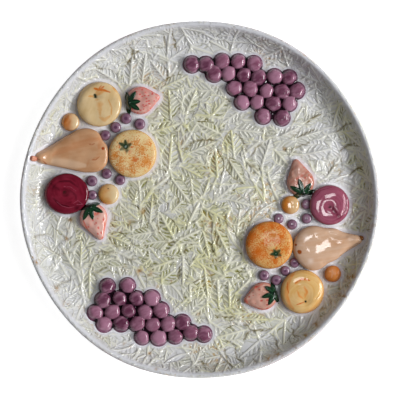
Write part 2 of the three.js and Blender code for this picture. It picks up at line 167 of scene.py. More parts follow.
def finishPiece(piece, material, slotName, *nodes):
    piece.data.materials.clear()
    piece.data.materials.append(material)
    pickOnly(piece)
    bpy.ops.object.shade_smooth()
    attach(piece, "root")
    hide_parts(*nodes)
    deselectAll()


domeForm = {
    "cut": 0.35,  # of the ball's radius, under its widest line
    "tuck": 0.0015,  # height of the widest line
    "sunk": 0.0003,  # below the glaze
    "cuts": {"large": 7, "middling": 6, "small": 5},
}


def addDome(name, size):  # a fine ball of radius 1, cut flat a little under its widest line
    deselectAll()
    bpy.ops.mesh.primitive_ico_sphere_add(subdivisions=domeForm["cuts"][size], radius=1)
    ball = takePiece(name)
    editAll(ball)
    level = (0, 0, -domeForm["cut"])
    bpy.ops.mesh.bisect(plane_co=level, plane_no=(0, 0, 1), clear_inner=True, use_fill=True)
    bpy.ops.mesh.select_all(action="DESELECT")
    bpy.ops.object.mode_set(mode="OBJECT")
    for face in ball.data.polygons:
        face.select = len(face.vertices) > 4
    bpy.ops.object.mode_set(mode="EDIT")
    bpy.ops.mesh.select_mode(type="FACE")
    bpy.ops.mesh.poke()
    bpy.ops.object.mode_set(mode="OBJECT")
    return ball


# Smooth seeded lumps, for clay that was pressed by hand
def lumps(points, seed, size, count=24):
    draw = np.random.default_rng(seed)
    total = np.zeros(len(points))
    for wave in range(count):
        way = draw.normal(size=2)
        way *= draw.uniform(0.6, 1.4) * 2 * math.pi / size / np.linalg.norm(way)
        total += np.cos(points[:, :2] @ way + draw.uniform(0, 2 * math.pi))
    return total / math.sqrt(count / 2)


# Shader helpers
def newMaterial(name):
    material = bpy.data.materials.new(name)
    material.use_nodes = True
    return material, material.node_tree.nodes["Principled BSDF"], Wiring(material.node_tree)


class Wiring:  # short way to add and link nodes in one tree
    def __init__(self, tree):
        self.tree = tree

    def feed(self, socket, value):
        if isinstance(value, bpy.types.NodeSocket):
            self.tree.links.new(value, socket)
        else:
            socket.default_value = value

    def feedAll(self, sockets, values):
        for key, value in values.items():
            self.feed(sockets[key], value)

    def add(self, kind, values=None, **settings):
        node = self.tree.nodes.new(kind)
        for key, value in settings.items():
            setattr(node, key, value)
        self.feedAll(node.inputs, values or {})
        return node

    def math(self, operation, first, second=0.0, clamp=False):
        values = {0: first, 1: second}
        return self.add("ShaderNodeMath", values, operation=operation, use_clamp=clamp).outputs[0]

    def times(self, first, *factors, clamp=False):  # only the last product is clamped
        for factor in factors[:-1]:
            first = self.math("MULTIPLY", first, factor)
        return self.math("MULTIPLY", first, factors[-1], clamp)

    def most(self, first, *others):
        for other in others:
            first = self.math("MAXIMUM", first, other)
        return first

    def rest(self, value):
        return self.math("SUBTRACT", 1.0, value)

    def vector(self, operation, values):
        return self.add("ShaderNodeVectorMath", values, operation=operation)

    def ramp(self, value, low, high, bottom=0.0, top=1.0):
        values = {"Value": value, "From Min": low, "From Max": high, "To Min": bottom, "To Max": top}
        return self.add("ShaderNodeMapRange", values, interpolation_type="SMOOTHSTEP").outputs["Result"]

    def mix(self, share, first, second):
        return self.add("ShaderNodeMix", {0: share, 6: first, 7: second}, data_type="RGBA").outputs[2]

    def mask(self, name):
        return self.add("ShaderNodeAttribute", attribute_name=name).outputs["Fac"]

    def noise(self, vector, scale, detail=3.0, roughness=0.55):
        values = {"Vector": vector, "Scale": scale, "Detail": detail, "Roughness": roughness}
        return self.add("ShaderNodeTexNoise", values).outputs["Fac"]

    def objectPoint(self):
        return self.add("ShaderNodeTexCoord").outputs["Object"]

    def parts(self, vector):
        return self.add("ShaderNodeSeparateXYZ", {0: vector}).outputs

    def joined(self, *parts):
        return self.add("ShaderNodeCombineXYZ", dict(enumerate(parts))).outputs[0]

    def planRadius(self, point, middle=(0, 0, 0)):  # distance in plan from a middle
        offset = self.vector("SUBTRACT", {0: point, 1: middle}).outputs[0]
        flat = self.vector("MULTIPLY", {0: offset, 1: (1, 1, 0)}).outputs[0]
        return self.vector("LENGTH", {0: flat}).outputs["Value"]

    def turned(self, vector, place, degrees, stretch):  # a pattern laid along a piece
        turn = (0, 0, math.radians(degrees))
        values = {"Vector": vector, "Location": place, "Rotation": turn, "Scale": stretch}
        return self.add("ShaderNodeMapping", values, vector_type="TEXTURE").outputs["Vector"]

    def group(self, tree, **values):
        return self.add("ShaderNodeGroup", values, node_tree=tree).outputs

    def bump(self, height, distance):
        values = {"Height": height, "Distance": distance, "Strength": 1.0}
        return self.add("ShaderNodeBump", values).outputs["Normal"]


def newGroup(name, inputs, outputs):
    tree = bpy.data.node_groups.new(name, "ShaderNodeTree")
    kinds = {"value": "NodeSocketFloat", "colour": "NodeSocketColor", "vector": "NodeSocketVector"}
    for way, sockets in (("INPUT", inputs), ("OUTPUT", outputs)):
        for key, kind in sockets.items():
            tree.interface.new_socket(name=key, in_out=way, socket_type=kinds[kind])
    w = Wiring(tree)
    return tree, w, w.add("NodeGroupInput").outputs, w.add("NodeGroupOutput").inputs


# Glaze: slow drifts of tone, uneven gloss and a soft ripple, for every glazed piece
def makeGlazeGroup():
    tree, w, given, out = newGroup(
        "glazeFinish",
        {"Colour": "colour", "Drift": "value"},
        {"Colour": "colour", "Roughness": "value", "Height": "value"},
    )
    at = w.objectPoint()
    slow = w.noise(at, 55, 3)
    fine = w.noise(at, 420, 2)
    shade = w.math("ADD", w.times(slow, 0.7), w.times(fine, 0.3))
    level = w.math("ADD", w.times(w.math("SUBTRACT", shade, 0.5), given["Drift"]), 1.0)
    scaled = w.vector("SCALE", {0: given["Colour"], "Scale": level}).outputs[0]
    height = w.math("ADD", slow, w.times(fine, 0.12))
    w.feedAll(out, {"Colour": scaled, "Roughness": w.ramp(fine, 0.3, 0.8, 0.05, 0.11), "Height": height})
    return tree


# Brush: long streaks of thin and thick colour across a given plan
def makeBrushGroup():
    tree, w, given, out = newGroup("brushStreaks", {"Plan": "vector"}, {"Streak": "value", "Patch": "value"})
    broad = w.noise(given["Plan"], 1.0, 4, 0.6)
    patch = w.noise(w.objectPoint(), 95, 2)
    w.feedAll(out, {"Streak": w.ramp(broad, 0.34, 0.68), "Patch": w.ramp(patch, 0.36, 0.66)})
    return tree


# Sponge: fine specks that crowd where the mask is full
def makeSpongeGroup():
    tree, w, given, out = newGroup("spongeSpecks", {"Crowd": "value", "Size": "value"}, {"Speck": "value"})
    grain = w.noise(w.objectPoint(), given["Size"], 2, 0.5)
    level = w.math("SUBTRACT", 0.74, w.times(given["Crowd"], 0.36))
    w.feed(out["Speck"], w.ramp(w.math("SUBTRACT", grain, level), -0.02, 0.07))
    return tree


# Seeds: dabs in cells of their own, some of them left out
def makeSeedGroup():
    tree, w, given, out = newGroup("seedSpecks", {"Plan": "vector", "Share": "value"}, {"Seed": "value"})
    values = {"Vector": given["Plan"], "Scale": 1.0, "Randomness": 0.85}
    cells = w.add("ShaderNodeTexVoronoi", values, feature="F1").outputs
    chance = w.add("ShaderNodeSeparateColor", {0: cells["Color"]}).outputs[0]
    chosen = w.math("LESS_THAN", chance, given["Share"])
    w.feed(out["Seed"], w.times(w.ramp(cells["Distance"], 0.36, 0.20), chosen))
    return tree


glazeGroup = makeGlazeGroup()
brushGroup = makeBrushGroup()
spongeGroup = makeSpongeGroup()
seedGroup = makeSeedGroup()


def addGlaze(w, shader, colour, drift, ripple, gloss, shine=0.5):
    finish = w.group(glazeGroup, Colour=colour, Drift=drift)
    w.feedAll(shader.inputs, {
        "Base Color": finish["Colour"],
        "Roughness": finish["Roughness"],
        "Normal": w.bump(finish["Height"], ripple),
        "Specular IOR Level": shine,
        "Coat Weight": gloss,
        "Coat Roughness": 0.04,
    })


# Fruit is measured on its solid, along the way that it points
def measureNode(node, degrees=0.0, tip=0.0):
    flat = np.array([v.co[:2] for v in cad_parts[node].data.vertices])
    way = headed(math.radians(degrees))
    side = np.array([-way[1], way[0]])
    along, across = flat @ way, flat @ side
    bulb = (across.max() - across.min()) / 2
    middle = way * (along.min() + bulb) + side * (across.max() + across.min()) / 2
    reach = along.max() - along.min() - bulb - tip
    return {"node": node, "middle": middle, "bulb": bulb, "tip": tip, "reach": reach if tip else 0.0,
            "turn": math.radians(degrees)}


def outlineRadius(form, angle):  # distance from the bulb's middle to the outline
    bulb, tip, reach = form["bulb"], form["tip"], form["reach"]
    turn = np.abs(np.arctan2(np.sin(angle), np.cos(angle)))
    radius = np.full_like(angle, bulb)
    if reach:
        flank = math.acos((bulb - tip) / reach)
        tipEdge = math.atan2(tip * math.sin(flank), reach + tip * math.cos(flank))
        onTip = reach * np.cos(turn) + np.sqrt(np.maximum(tip**2 - (reach * np.sin(turn)) ** 2, 0))
        onFlank = bulb / np.cos(np.clip(flank - turn, 0, 1.5))
        radius = np.where(turn >= flank, bulb, np.where(turn >= tipEdge, onFlank, onTip))
    drawnIn, waistAt, waistSpread = form.get("waist", (0.0, 0.0, 1.0))
    swell = 1 - drawnIn * np.exp(-(((turn - waistAt) / waistSpread) ** 2))
    for degrees, amount, spread in form.get("bulges", []):
        off = angle - math.radians(degrees)
        off = np.arctan2(np.sin(off), np.cos(off))
        swell = swell + amount * np.exp(-((off / math.radians(spread)) ** 2))
    return radius * swell


def outlineGap(form, points):  # plan distance from a fruit's outline, less than 0 inside
    offset = points - form["middle"]
    if not form["reach"]:
        return np.hypot(offset[:, 0], offset[:, 1]) - form["bulb"]
    c, s = math.cos(form["turn"]), math.sin(form["turn"])
    along = offset[:, 0] * c + offset[:, 1] * s
    across = np.abs(offset[:, 1] * c - offset[:, 0] * s)
    lean = (form["bulb"] - form["tip"]) / form["reach"]
    rise = math.sqrt(1 - lean**2)
    k = along * rise - across * lean
    onFlank = across * rise + along * lean - form["bulb"]
    onTip = np.hypot(along - form["reach"], across) - form["tip"]
    onBulb = np.hypot(along, across) - form["bulb"]
    return np.where(k < 0, onBulb, np.where(k > form["reach"] * rise, onTip, onFlank))


def strokeGap(points, path):  # distance from a brush stroke, and the share of the way along it
    path = np.asarray(path, float)
    best = np.full(len(points), 1.0)
    along = np.zeros(len(points))
    for step in range(len(path) - 1):
        start, run = path[step], path[step + 1] - path[step]
        share = np.clip(((points - start) @ run) / (run @ run), 0, 1)
        gap = np.linalg.norm(points - start - share[:, None] * run, axis=1)
        along = np.where(gap < best, (step + share) / (len(path) - 1), along)
        best = np.minimum(best, gap)
    return best, along


def swellDome(piece, form, look):  # shapes a cut ball into a fruit and lays it on the dish
    ball = readPoints(piece)
    across = np.hypot(ball[:, 0], ball[:, 1])
    angle = np.arctan2(ball[:, 1], ball[:, 0])
    upper = ball[:, 2] >= 0
    fromCrown = np.arctan2(across, np.maximum(ball[:, 2], 0))
    full, tuck = look["fullness"], domeForm["tuck"]
    under = np.clip(-ball[:, 2] / domeForm["cut"], 0, 1)
    share = np.where(upper, np.sin(fromCrown) ** full, 1 - 0.05 * under**2)
    middle = (ball[:, 2] <= 0.001 - domeForm["cut"]) & (across < 0.5)  # of the flat cut
    share = np.where(middle, 0, share)
    crown = tuck + (look["height"] - tuck) * np.maximum(np.cos(fromCrown), 0) ** full
    height = np.where(upper, crown, tuck * (1 - under) - domeForm["sunk"])
    radius = share * outlineRadius(form, angle)
    plan = turnPlan(radius[:, None] * inPlan(angle), form["turn"])
    top = rampUp(1 - share, 0.0, 0.25) * upper
    for place, depth, spread in look.get("hollows", []):
        height -= top * depth * np.exp(-(np.linalg.norm(plan - place, axis=1) / spread) ** 2)
    for path, depth, spread in look.get("creases", []):
        gap, along = strokeGap(plan, path)
        fade = rampUp(along, 0.0, 0.2) * (1 - rampUp(along, 0.8, 1.0))
        height -= top * depth * fade * np.exp(-((gap / spread) ** 2))
    height += top * look["lumpy"] * lumps(plan, look.get("seed", 3), look.get("lumpSize", 0.018))
    movePoints(piece, layOnDish(np.column_stack([plan + form["middle"], height])))
    return plan, share


def paintMarks(piece, plan, marks):  # each named mask gathers its dots, strokes and washes
    draw = np.random.default_rng(5)
    for name, strokes in marks.items():
        total = np.zeros(len(plan))
        for width, path in strokes:
            if len(path) == 1:
                gap = np.linalg.norm(plan - path[0], axis=1)
                cover = 1 - rampUp(gap, 0.7 * width, 1.2 * width)
                if name in ("wash", "crowd", "pale"):  # soft all round
                    cover = np.exp(-((gap / (0.85 * width)) ** 2))
            else:
                gap, along = strokeGap(plan, path)
                taper = 0.45 + 0.55 * np.sin(math.pi * np.clip(along * 0.9 + 0.08, 0, 1))
                cover = 1 - rampUp(gap / np.maximum(taper, 0.2), 0.35 * width, 1.1 * width)
                cover *= draw.uniform(0.75, 1.0)
            total = np.maximum(total, cover)
        keepMask(piece, name, total)


def makeFruit(form, look, material, slotName, marks, size):
    piece = addDome("glazed_" + form["node"], size)
    plan, share = swellDome(piece, form, look)
    keepMask(piece, "edge", np.clip(share, 0, 1))
    paintMarks(piece, plan, marks)
    finishPiece(piece, material, slotName, form["node"])


print("helpers ready")

# Where each fruit lies, from the solids; pears and strawberries point along a heading, in degrees
otherGarland = 181.1  # degrees from the left garland to the right
headings = {
    "pear_left": 188.8, "strawberry_upper_left": 10.7, "strawberry_lower_left": -70.4,
    "pear_right": 188.8 + otherGarland, "strawberry_upper_right": 13.7 + otherGarland,
    "strawberry_lower_right": -78.2 + otherGarland,
}
tips = {"pear": 0.004, "strawberry": 0.0032}  # radius at the pointed end
berryNumbers = range(1, 9)
fruitKinds = ["orange", "apple", "plum", "apricot_outer", "apricot_inner"]
fruitKinds += [f"berry_{number}" for number in berryNumbers] + ["pear", "pear_stem"]
fruitKinds += ["strawberry_upper", "strawberry_lower"]
forms = {}
for side in sides:
    for kind in fruitKinds:
        node = f"{kind}_{side}"
        pointed = (headings[node], tips[kind.split("_")[0]]) if node in headings else ()
        forms[node] = measureNode(node, *pointed)

# The painted fruit swells a little past its solid: millimetres to move by, and a share to grow by
fitted = {
    "apple_left": (-0.7, 1.3, 1.05), "apple_right": (0.45, -0.7, 1.03),
    "orange_left": (-0.3, -0.3, 1.03), "orange_right": (-0.1, -0.45, 1.02),
    "plum_left": (-1.8, -0.9, 1.04), "plum_right": (0.2, -0.4, 1.02),
    "pear_left": (0.2, 0.2, 1.0), "pear_right": (0.1, -0.9, 1.0),
    "pear_stem_left": (-2.4, 0.3, 1.1), "pear_stem_right": (-2.4, -0.8, 1.0),
    "apricot_outer_left": (-1.4, 0.35, 1.1), "apricot_outer_right": (0.75, -0.6, 1.04),
    "apricot_inner_left": (0.2, -1.0, 1.16), "apricot_inner_right": (1.15, -0.2, 1.02),
    "strawberry_upper_left": (0.35, 1.2, 1.02), "strawberry_upper_right": (0.1, -0.5, 1.02),
    "strawberry_lower_left": (-1.4, -2.3, 1.01), "strawberry_lower_right": (0.0, 0.0, 1.0),
    "berry_1_left": (0.1, 0.7, 1.17), "berry_2_left": (0.4, 0.3, 1.17), "berry_3_left": (-0.4, 0.5, 1.13),
    "berry_4_left": (-1.1, -0.4, 1.09), "berry_5_left": (-0.4, -0.2, 1.09),
    "berry_6_left": (-1.1, -0.6, 1.15), "berry_7_left": (-0.2, 0.0, 1.1), "berry_8_left": (-1.6, -1.0, 1.02),
    "berry_1_right": (0.6, -0.4, 1.1), "berry_2_right": (0.4, -0.3, 1.1), "berry_3_right": (0.9, -0.7, 1.02),
    "berry_4_right": (0.5, 0.3, 1.05), "berry_5_right": (0.4, -0.4, 1.06), "berry_6_right": (0.7, -0.2, 1.08),
    "berry_7_right": (1.1, -1.6, 1.08), "berry_8_right": (2.2, 0.0, 1.06),
}
berrySwell = 1.07
for name, (right, up, grow) in fitted.items():
    forms[name]["middle"] = forms[name]["middle"] + np.array([right, up]) * mm
    forms[name]["bulb"] *= grow * (berrySwell if name.startswith("berry") else 1.0)

# Pears and a plum are pressed out of true: degrees from the tip, share that the outline swells by
# there, and spread. A waist has the share that it is drawn in by, then place and spread in radians
forms["pear_left"].update(tip=0.0054, reach=forms["pear_left"]["reach"] + 0.0022,
                          bulges=[(-156, -0.11, 17), (133, 0.13, 24), (110, 0.05, 16)])
forms["pear_right"].update(tip=0.0046, reach=forms["pear_right"]["reach"] + 0.0006, waist=(0.04, 0.33, 0.22),
                           bulges=[(62, -0.03, 20), (-62, -0.07, 16), (-112, 0.05, 24), (32, 0.06, 12)])
forms["plum_left"].update(bulges=[(180, 0.13, 42), (0, 0.08, 42)])

# Grape bunches: crowded grapes on one bed, each set where it was pressed, in millimetres
bunchLook = {
    "upper": [
        (-7.0, 121.4), (5.4, 121.2), (20.0, 123.8), (34.7, 123.8), (48.5, 121.8),
        (12.9, 113.1), (25.6, 113.1), (39.7, 112.0), (52.8, 109.4), (67.0, 110.1), (80.0, 109.4),
        (31.5, 100.4), (45.3, 99.7), (59.9, 97.4), (73.7, 97.0), (86.8, 97.8),
        (38.2, 87.7), (51.3, 87.7), (65.9, 86.2), (80.0, 86.2), (56.9, 75.0), (73.7, 73.5),
    ],
    "lower": [
        (-51.7, -123.5), (-37.0, -123.5), (-22.2, -122.3), (-8.1, -119.1), (3.6, -120.7),
        (-85.6, -111.5), (-70.6, -111.1), (-56.3, -111.1), (-42.2, -112.3), (-28.6, -111.1), (-15.7, -110.3),
        (-93.3, -101.4), (-78.4, -100.6), (-63.9, -99.8), (-49.1, -100.6), (-35.0, -99.4),
        (-86.5, -90.2), (-72.0, -88.6), (-56.7, -89.0), (-43.1, -88.6), (-82.8, -77.7), (-64.8, -77.3),
    ],
    "width": 0.0140,
    "height": 0.0068,
    "fullness": 0.66,
    "growth": (0.95, 1.06),  # share of the width that a grape comes out at
    "rise": (0.92, 1.06),
    "tilt": 0.06,
    "turn": 6.3,  # radians within which a grape lies any way round
    "oval": 0.05,
    "knobs": 0.03,
    "bedWidth": 0.0168,
    "bedHeight": 0.0030,
    "bedMargin": 0.0006,
    "slipDepth": 0.0008,
    "grain": 0.00045,
    "seed": {"upper": 21, "lower": 34},
}


def grapePlaces(which):
    draw = np.random.default_rng(bunchLook["seed"][which])
    return np.array([(x * mm, y * mm, draw.uniform(*bunchLook["growth"])) for x, y in bunchLook[which]])


grapes = {which: grapePlaces(which) for which in levels}


def nearestFruit(points):  # plan distance to the nearest fruit of a garland
    return np.minimum.reduce([outlineGap(form, points) for form in forms.values()])


def nearestGrape(points):
    gap = np.full(len(points), 1.0)
    for x, y, size in np.vstack(list(grapes.values())):
        reach = np.hypot(points[:, 0] - x, points[:, 1] - y) - size * bunchLook["bedWidth"] / 2
        gap = np.minimum(gap, reach + bunchLook["bedMargin"])
    return gap


# The embossed ground: sprays of leaves pressed into the dish
relief = {
    "seed": 17,
    "spraySpacing": 0.0230,
    "rowSpacing": 0.866,  # of the spacing
    "columns": 7,  # to each side
    "sprayStray": 0.22,  # of the spacing
    "sprayReach": 0.176,  # from the middle
    "rowReach": 0.18,
    "stemLength": (0.050, 0.085),
    "stemBend": 1.3,  # radians over a stem
    "stemWidth": 0.0010,
    "stemCatch": 0.06,  # how far from a stem's middle it is looked for
    "leafEvery": 0.0130,
    "leafLength": (0.019, 0.028),
    "firstLeaf": 0.8,  # the first leaf of a stem is shorter
    "leafWidth": (0.50, 0.70),  # of its length
    "leafLean": (40, 62),  # degrees off the stem
    "leafBend": 0.22,
    "leafStray": 0.0006,
    "leafCrisp": (0.10, 0.95),
    "mainCrisp": (0.75, 1.0),
    "mainTone": (0.2, 1),
    "mainStem": 0.011,
    "mainJoin": 0.08,  # share of the leaf that its stem reaches into
    "mainSwing": (0.3, 0.7),  # radians that its stem turns by
    "veinEvery": (0.0036, 0.0054),
    "veinLean": 48,
    "leafLift": 0.00025,
    "leafCup": 0.00025,
    "mainRidge": 0.0009,  # the main leaves rise to their midribs, as in the solids
    "mainRoot": 0.0004,
    "mainRoof": ([0, 0.36, 0.74, 1], [0, 1, 1, 0]),  # share of the way along, share of the ridge
    "midrib": 0.00045,
    "midribWidth": 0.0008,
    "vein": 0.00028,
    "outline": 0.00045,
    "outlineWidth": 0.0007,
    "stem": 0.00060,
    "darkEdgeShare": 0.7,  # of the leaves have colour pooled along one edge, darkened further as painted shade
    "creaseShare": 0.15,  # of the stems have a dark crease along one side
    "creaseStart": (0.0, 0.5),  # share of the way along the stem
    "creaseRun": (0.25, 0.6),
    "creaseAway": 0.0013,  # from the stem
    "creaseWidth": 0.00055,
    "creaseEase": 0.12,  # share of the stem over which a crease fades in
    "creaseDepth": 0.0004,
    "creaseClear": 0.005,  # creases stop on plain glaze this near to a fruit
    "foldWidth": 0.0010,
    "foldDepth": 0.0003,
    "foldStray": 0.0004,
    "foldWave": 0.007,
    "foldCatch": 0.022,
    "foldFade": (0.155, 0.162),
    "rustSpread": 0.9,  # of a spot's size
    "haloRing": 0.00035,  # soft ring of glaze round each fruit
    "haloAway": 0.0016,
    "haloWidth": 0.0009,
    "haloFruit": (0.0006, 0.0036),  # pale glaze, lightened further as painted light against the shade at each fruit's foot, fades between these distances
    "haloGrapes": (0.0002, 0.0016),
    "plainGap": (0.0006, 0.0040),  # no leaves this near to a fruit
    "plainFade": (0.1590, 0.1650),  # along the glaze from the middle: leaves fade out towards the lip
    "plainLift": 0.0004,
    "plainLevel": (0.150, 0.162),
    "uneven": 0.00018,
    "unevenSeed": 8,
    "unevenSize": 0.05,
    "unevenFade": (0.150, 0.164),
}
plateMesh = {
    "rings": (15, 9),
    "profileSteps": 20,  # over the glazed side of the lip
    "lipSteps": 9,
    "undersideSteps": 7,
    "weld": 0.00002,
    "spinWeld": 0.00001,
}

# Main leaves of the sprays, the same as in the solids: base, tip and width in millimetres
mainLeaves = [
    (-12, 41, 17, 53, 14), (16, 19, 14, 47, 14), (31, 38, 28, 63, 19), (55, 29, 64, 56, 19),
    (24, 39, 41, 13, 14), (1, -6, 27, -20, 15), (-22, -37, -37, -10, 16), (-12, -38, -35, -49, 15),
    (-28, 25, -25, 56, 17), (-19, 31, 4, 19, 13), (-26, 20, -8, -4, 15), (-11, -23, 1, 1, 12),
    (23, 1, 48, -6, 13), (14, -25, 27, -51, 13), (3, -28, 9, -54, 12), (-19, -36, 3, -26, 11),
    (-45, -22, -42, 6, 13), (-42, 10, -26, 22, 11), (3, 3, 9, 19, 10),
    (-26, 71, -28, 100, 20), (-13, 76, -2, 101, 15), (-44, 60, -16, 69, 13), (20, 58, -4, 70, 13),
    (30, 63, 58, 60, 14), (-63, 102, -60, 132, 14), (-52, 104, -48, 134, 13), (-30, 106, -46, 127, 14),
    (-72, 104, -95, 119, 14), (-34, 100, -9, 112, 13),
    (68, 55, 92, 66, 12), (66, 46, 82, 28, 14), (40, 37, 56, 20, 12), (84, 54, 113, 63, 13),
    (91, 68, 112, 78, 11), (92, 40, 120, 46, 15), (114, 19, 127, 40, 15),
    (-107, -61, -106, -36, 14), (-113, -62, -124, -42, 13), (-104, -58, -75, -52, 13),
    (-99, -62, -99, -90, 13), (-84, -31, -58, -42, 13), (-40, -29, -66, -33, 12), (-74, -47, -50, -59, 13),
    (-22, -54, -49, -63, 13), (-15, -50, -15, -79, 13),
    (4, -60, 8, -92, 11), (17, -97, 16, -69, 15), (27, -99, 26, -70, 13), (42, -101, 12, -105, 12),
    (35, -107, 64, -108, 11), (44, -116, 14, -124, 14), (31, -85, 47, -70, 12), (22, -66, 44, -56, 12),
]

# Folds of the clay where colour has run together, and rusty spots, in millimetres
creaseLines = [
    [(-40, 10), (-41.5, 2), (-40.5, -6), (-40, -13)], [(-39, -17), (-37, -28), (-32, -36)],
    [(-33, 12), (-30, 15), (-27, 19)], [(-31, -38), (-26, -39), (-20, -37)],
    [(-13, 45), (-9, 50), (-3, 53), (6, 54), (15, 53)], [(21, 52), (24, 58), (28, 62)],
    [(33, 60), (38, 54), (41, 48), (43, 42)], [(46, 38), (50, 46), (58, 52)],
    [(42, 33), (48, 30), (53, 26)], [(26, 39), (27, 30), (26, 22)], [(30, 20), (34, 16), (38, 13)],
    [(21, -14), (24, -22), (25, -29)], [(15, -30), (16, -38), (18, -44)], [(8, -38), (11, -46), (17, -52)],
    [(-30, -2), (-29, -8)], [(-20, 3), (-20, -4)], [(-16, -12), (-14, -18)],
    [(76, 44), (84, 46), (92, 49), (100, 51)], [(88, 56), (96, 60), (104, 63)],
    [(95, 68), (101, 73), (109, 77)], [(123, 61), (131, 67), (140, 70)], [(124, 42), (131, 48), (141, 51)],
    [(114, 23), (119, 29), (127, 33)], [(133, 21), (140, 27), (147, 30)],
    [(-152, -36), (-145, -32), (-136, -31)], [(-131, -80), (-124, -75), (-112, -71)],
    [(-84, -33), (-76, -41), (-66, -44), (-62, -42)], [(-93, -47), (-85, -47), (-76, -48)],
    [(-67, -54), (-57, -53)], [(-64, -40), (-57, -40)], [(-50, -41), (-47, -41)],
    [(-114, -44), (-111, -38), (-106, -36)], [(-100, -60), (-92, -65), (-82, -60)],
    [(-66, -24), (-60, -20), (-52, -19)], [(-53, -14), (-48, -9)], [(-13, -48), (-12, -43)],
    [(-18, -60), (-19, -72)], [(22, -133), (24, -142), (30, -153)], [(31, -133), (34, -142), (42, -149)],
    [(40, -111), (46, -117), (56, -117), (65, -116)], [(39, -127), (42, -121), (46, -116)],
    [(82, -112), (84, -120), (88, -124)], [(67, -123), (70, -134)], [(1, -142), (5, -152)],
    [(48, -142), (53, -148)], [(12, -104), (26, -106), (34, -104)], [(-63, 139), (-60, 131), (-58, 123)],
    [(-60, 130), (-54, 134)], [(-67, 119), (-62, 127)], [(-95, 121), (-86, 116)],
    [(-36, 104), (-30, 108), (-22, 114)], [(-33, 148), (-31, 140), (-30, 130)],
    [(-25, 150), (-22, 140), (-21, 132)], [(-27, 92), (-27, 76)],
]
rustSpots = [
    (-50, -10, 3.5), (-62, -21, 3), (-67, -18, 3), (-120, -35, 2.5), (-118, -27, 2.5), (-116, -18, 2.5),
    (-121, -47, 2), (35, 3, 1.8), (48, 24, 2), (16, -34, 2.5), (17, -42, 2), (15, -22, 2), (-68, -62, 2.5),
    (-54, -64, 3), (-45, -66, 3), (76, 46, 2), (136, -70, 4.5), (128, -87, 4.5), (117, -92, 2.2),
    (110, -98, 2.5), (104, -112, 3), (95, -122, 2.5), (88, -120, 2), (70, -138, 5), (62, -142, 4),
    (85, -131, 3), (156, -23, 2.5), (155.5, -29, 2), (-129, -80, 3), (-120, -93, 3), (-117, -104, 2.5),
    (-146, -56, 2), (-54, -69, 1.8), (-38, -78, 1.8), (-6, -80, 1.8), (-26, -73, 1.5), (-67, -130, 2),
    (-63, -132, 1.8), (-45, -138, 1.8), (-39, -151, 1.6), (-1, -103, 1.8),
]


def sprayStarts(draw):  # spots in staggered rows
    step = relief["spraySpacing"]
    rowStep = step * relief["rowSpacing"]
    rows = int(relief["rowReach"] / rowStep) + 1
    starts = []
    for row in range(-rows, rows + 1):
        for column in range(-relief["columns"], relief["columns"] + 1):
            spot = np.array([(column + 0.5 * (row % 2)) * step, row * rowStep])
            spot += draw.normal(0, relief["sprayStray"] * step, 2)
            if np.linalg.norm(spot) < relief["sprayReach"]:
                starts.append(spot)
    draw.shuffle(starts)
    return starts


def growSpray(start, draw):  # a bent stem, leaves to its left and right, and one at its end
    heading = draw.uniform(0, 2 * math.pi)
    length = draw.uniform(*relief["stemLength"])
    bend = draw.normal(0, relief["stemBend"] * 0.5)
    count = max(int(length / relief["leafEvery"]), 2)
    stem = [np.array(start) - 0.5 * length * headed(heading)]
    leaves = []
    hand = draw.choice([-1, 1])
    for joint in range(count):
        way = heading + bend * joint / count
        stem.append(stem[-1] + length / count * headed(way))
        lean = 0.0 if joint == count - 1 else hand * math.radians(draw.uniform(*relief["leafLean"]))
        hand = -hand
        leafLength = draw.uniform(*relief["leafLength"]) * (1.0 if joint else relief["firstLeaf"])
        leaves.append(
            {
                "base": stem[-1] if lean == 0 else stem[-1] + relief["leafStray"] * draw.normal(size=2),
                "heading": way + lean,
                "length": leafLength,
                "width": leafLength * draw.uniform(*relief["leafWidth"]),
                "bend": draw.normal(0, relief["leafBend"]),
                "veinEvery": draw.uniform(*relief["veinEvery"]),
                "crisp": draw.uniform(*relief["leafCrisp"]),
                "tone": draw.uniform(0, 1),
                "darkEdge": draw.choice([-1, 1]) * (draw.uniform() < relief["darkEdgeShare"]),
                "main": 0,
            }
        )
    creased = draw.uniform() < relief["creaseShare"]
    creaseHand = draw.choice([-1, 1])
    creaseStart = draw.uniform(*relief["creaseStart"])
    creaseRun = draw.uniform(*relief["creaseRun"])
    return stem, leaves, (creaseHand, creaseStart, creaseRun, creased)


def growMainLeaf(base, tip, width, draw):
    run = tip - base
    heading = math.atan2(run[1], run[0])
    swing = heading + draw.choice([-1, 1]) * draw.uniform(*relief["mainSwing"])
    stem = [base - relief["mainStem"] * headed(swing), base + relief["mainJoin"] * run]
    leaf = {
        "base": base, "heading": heading, "length": np.linalg.norm(run), "width": width, "bend": 0.0,
        "veinEvery": draw.uniform(*relief["veinEvery"]), "crisp": draw.uniform(*relief["mainCrisp"]),
        "tone": draw.uniform(*relief["mainTone"]), "darkEdge": draw.choice([-1, 1]), "main": 1,
    }
    return stem, [leaf], (1, 0.0, 0.6, draw.uniform() < relief["creaseShare"])


def growSprays():
    draw = np.random.default_rng(relief["seed"])
    sprays = [growSpray(start, draw) for start in sprayStarts(draw)]
    for x, y, tipX, tipY, width in mainLeaves:
        sprays.append(growMainLeaf(np.array([x, y]) * mm, np.array([tipX, tipY]) * mm, width * mm, draw))
    return sprays


def leafPlan(points, leaf):  # along, across and how far inside the edge, for points near a leaf
    way = headed(leaf["heading"])
    offset = points - leaf["base"]
    along = offset @ way
    share = along / leaf["length"]
    across = offset @ np.array([-way[1], way[0]]) - leaf["bend"] * along * share
    half = leaf["width"] / 2 * np.sin(math.pi * np.clip(share, 0.0, 1.0) ** 0.78)
    inside = 1 - np.abs(across) / np.maximum(half, 1e-5)
    inside = np.where((share > 0.01) & (share < 0.995), inside, -1)
    return along, across, inside, half


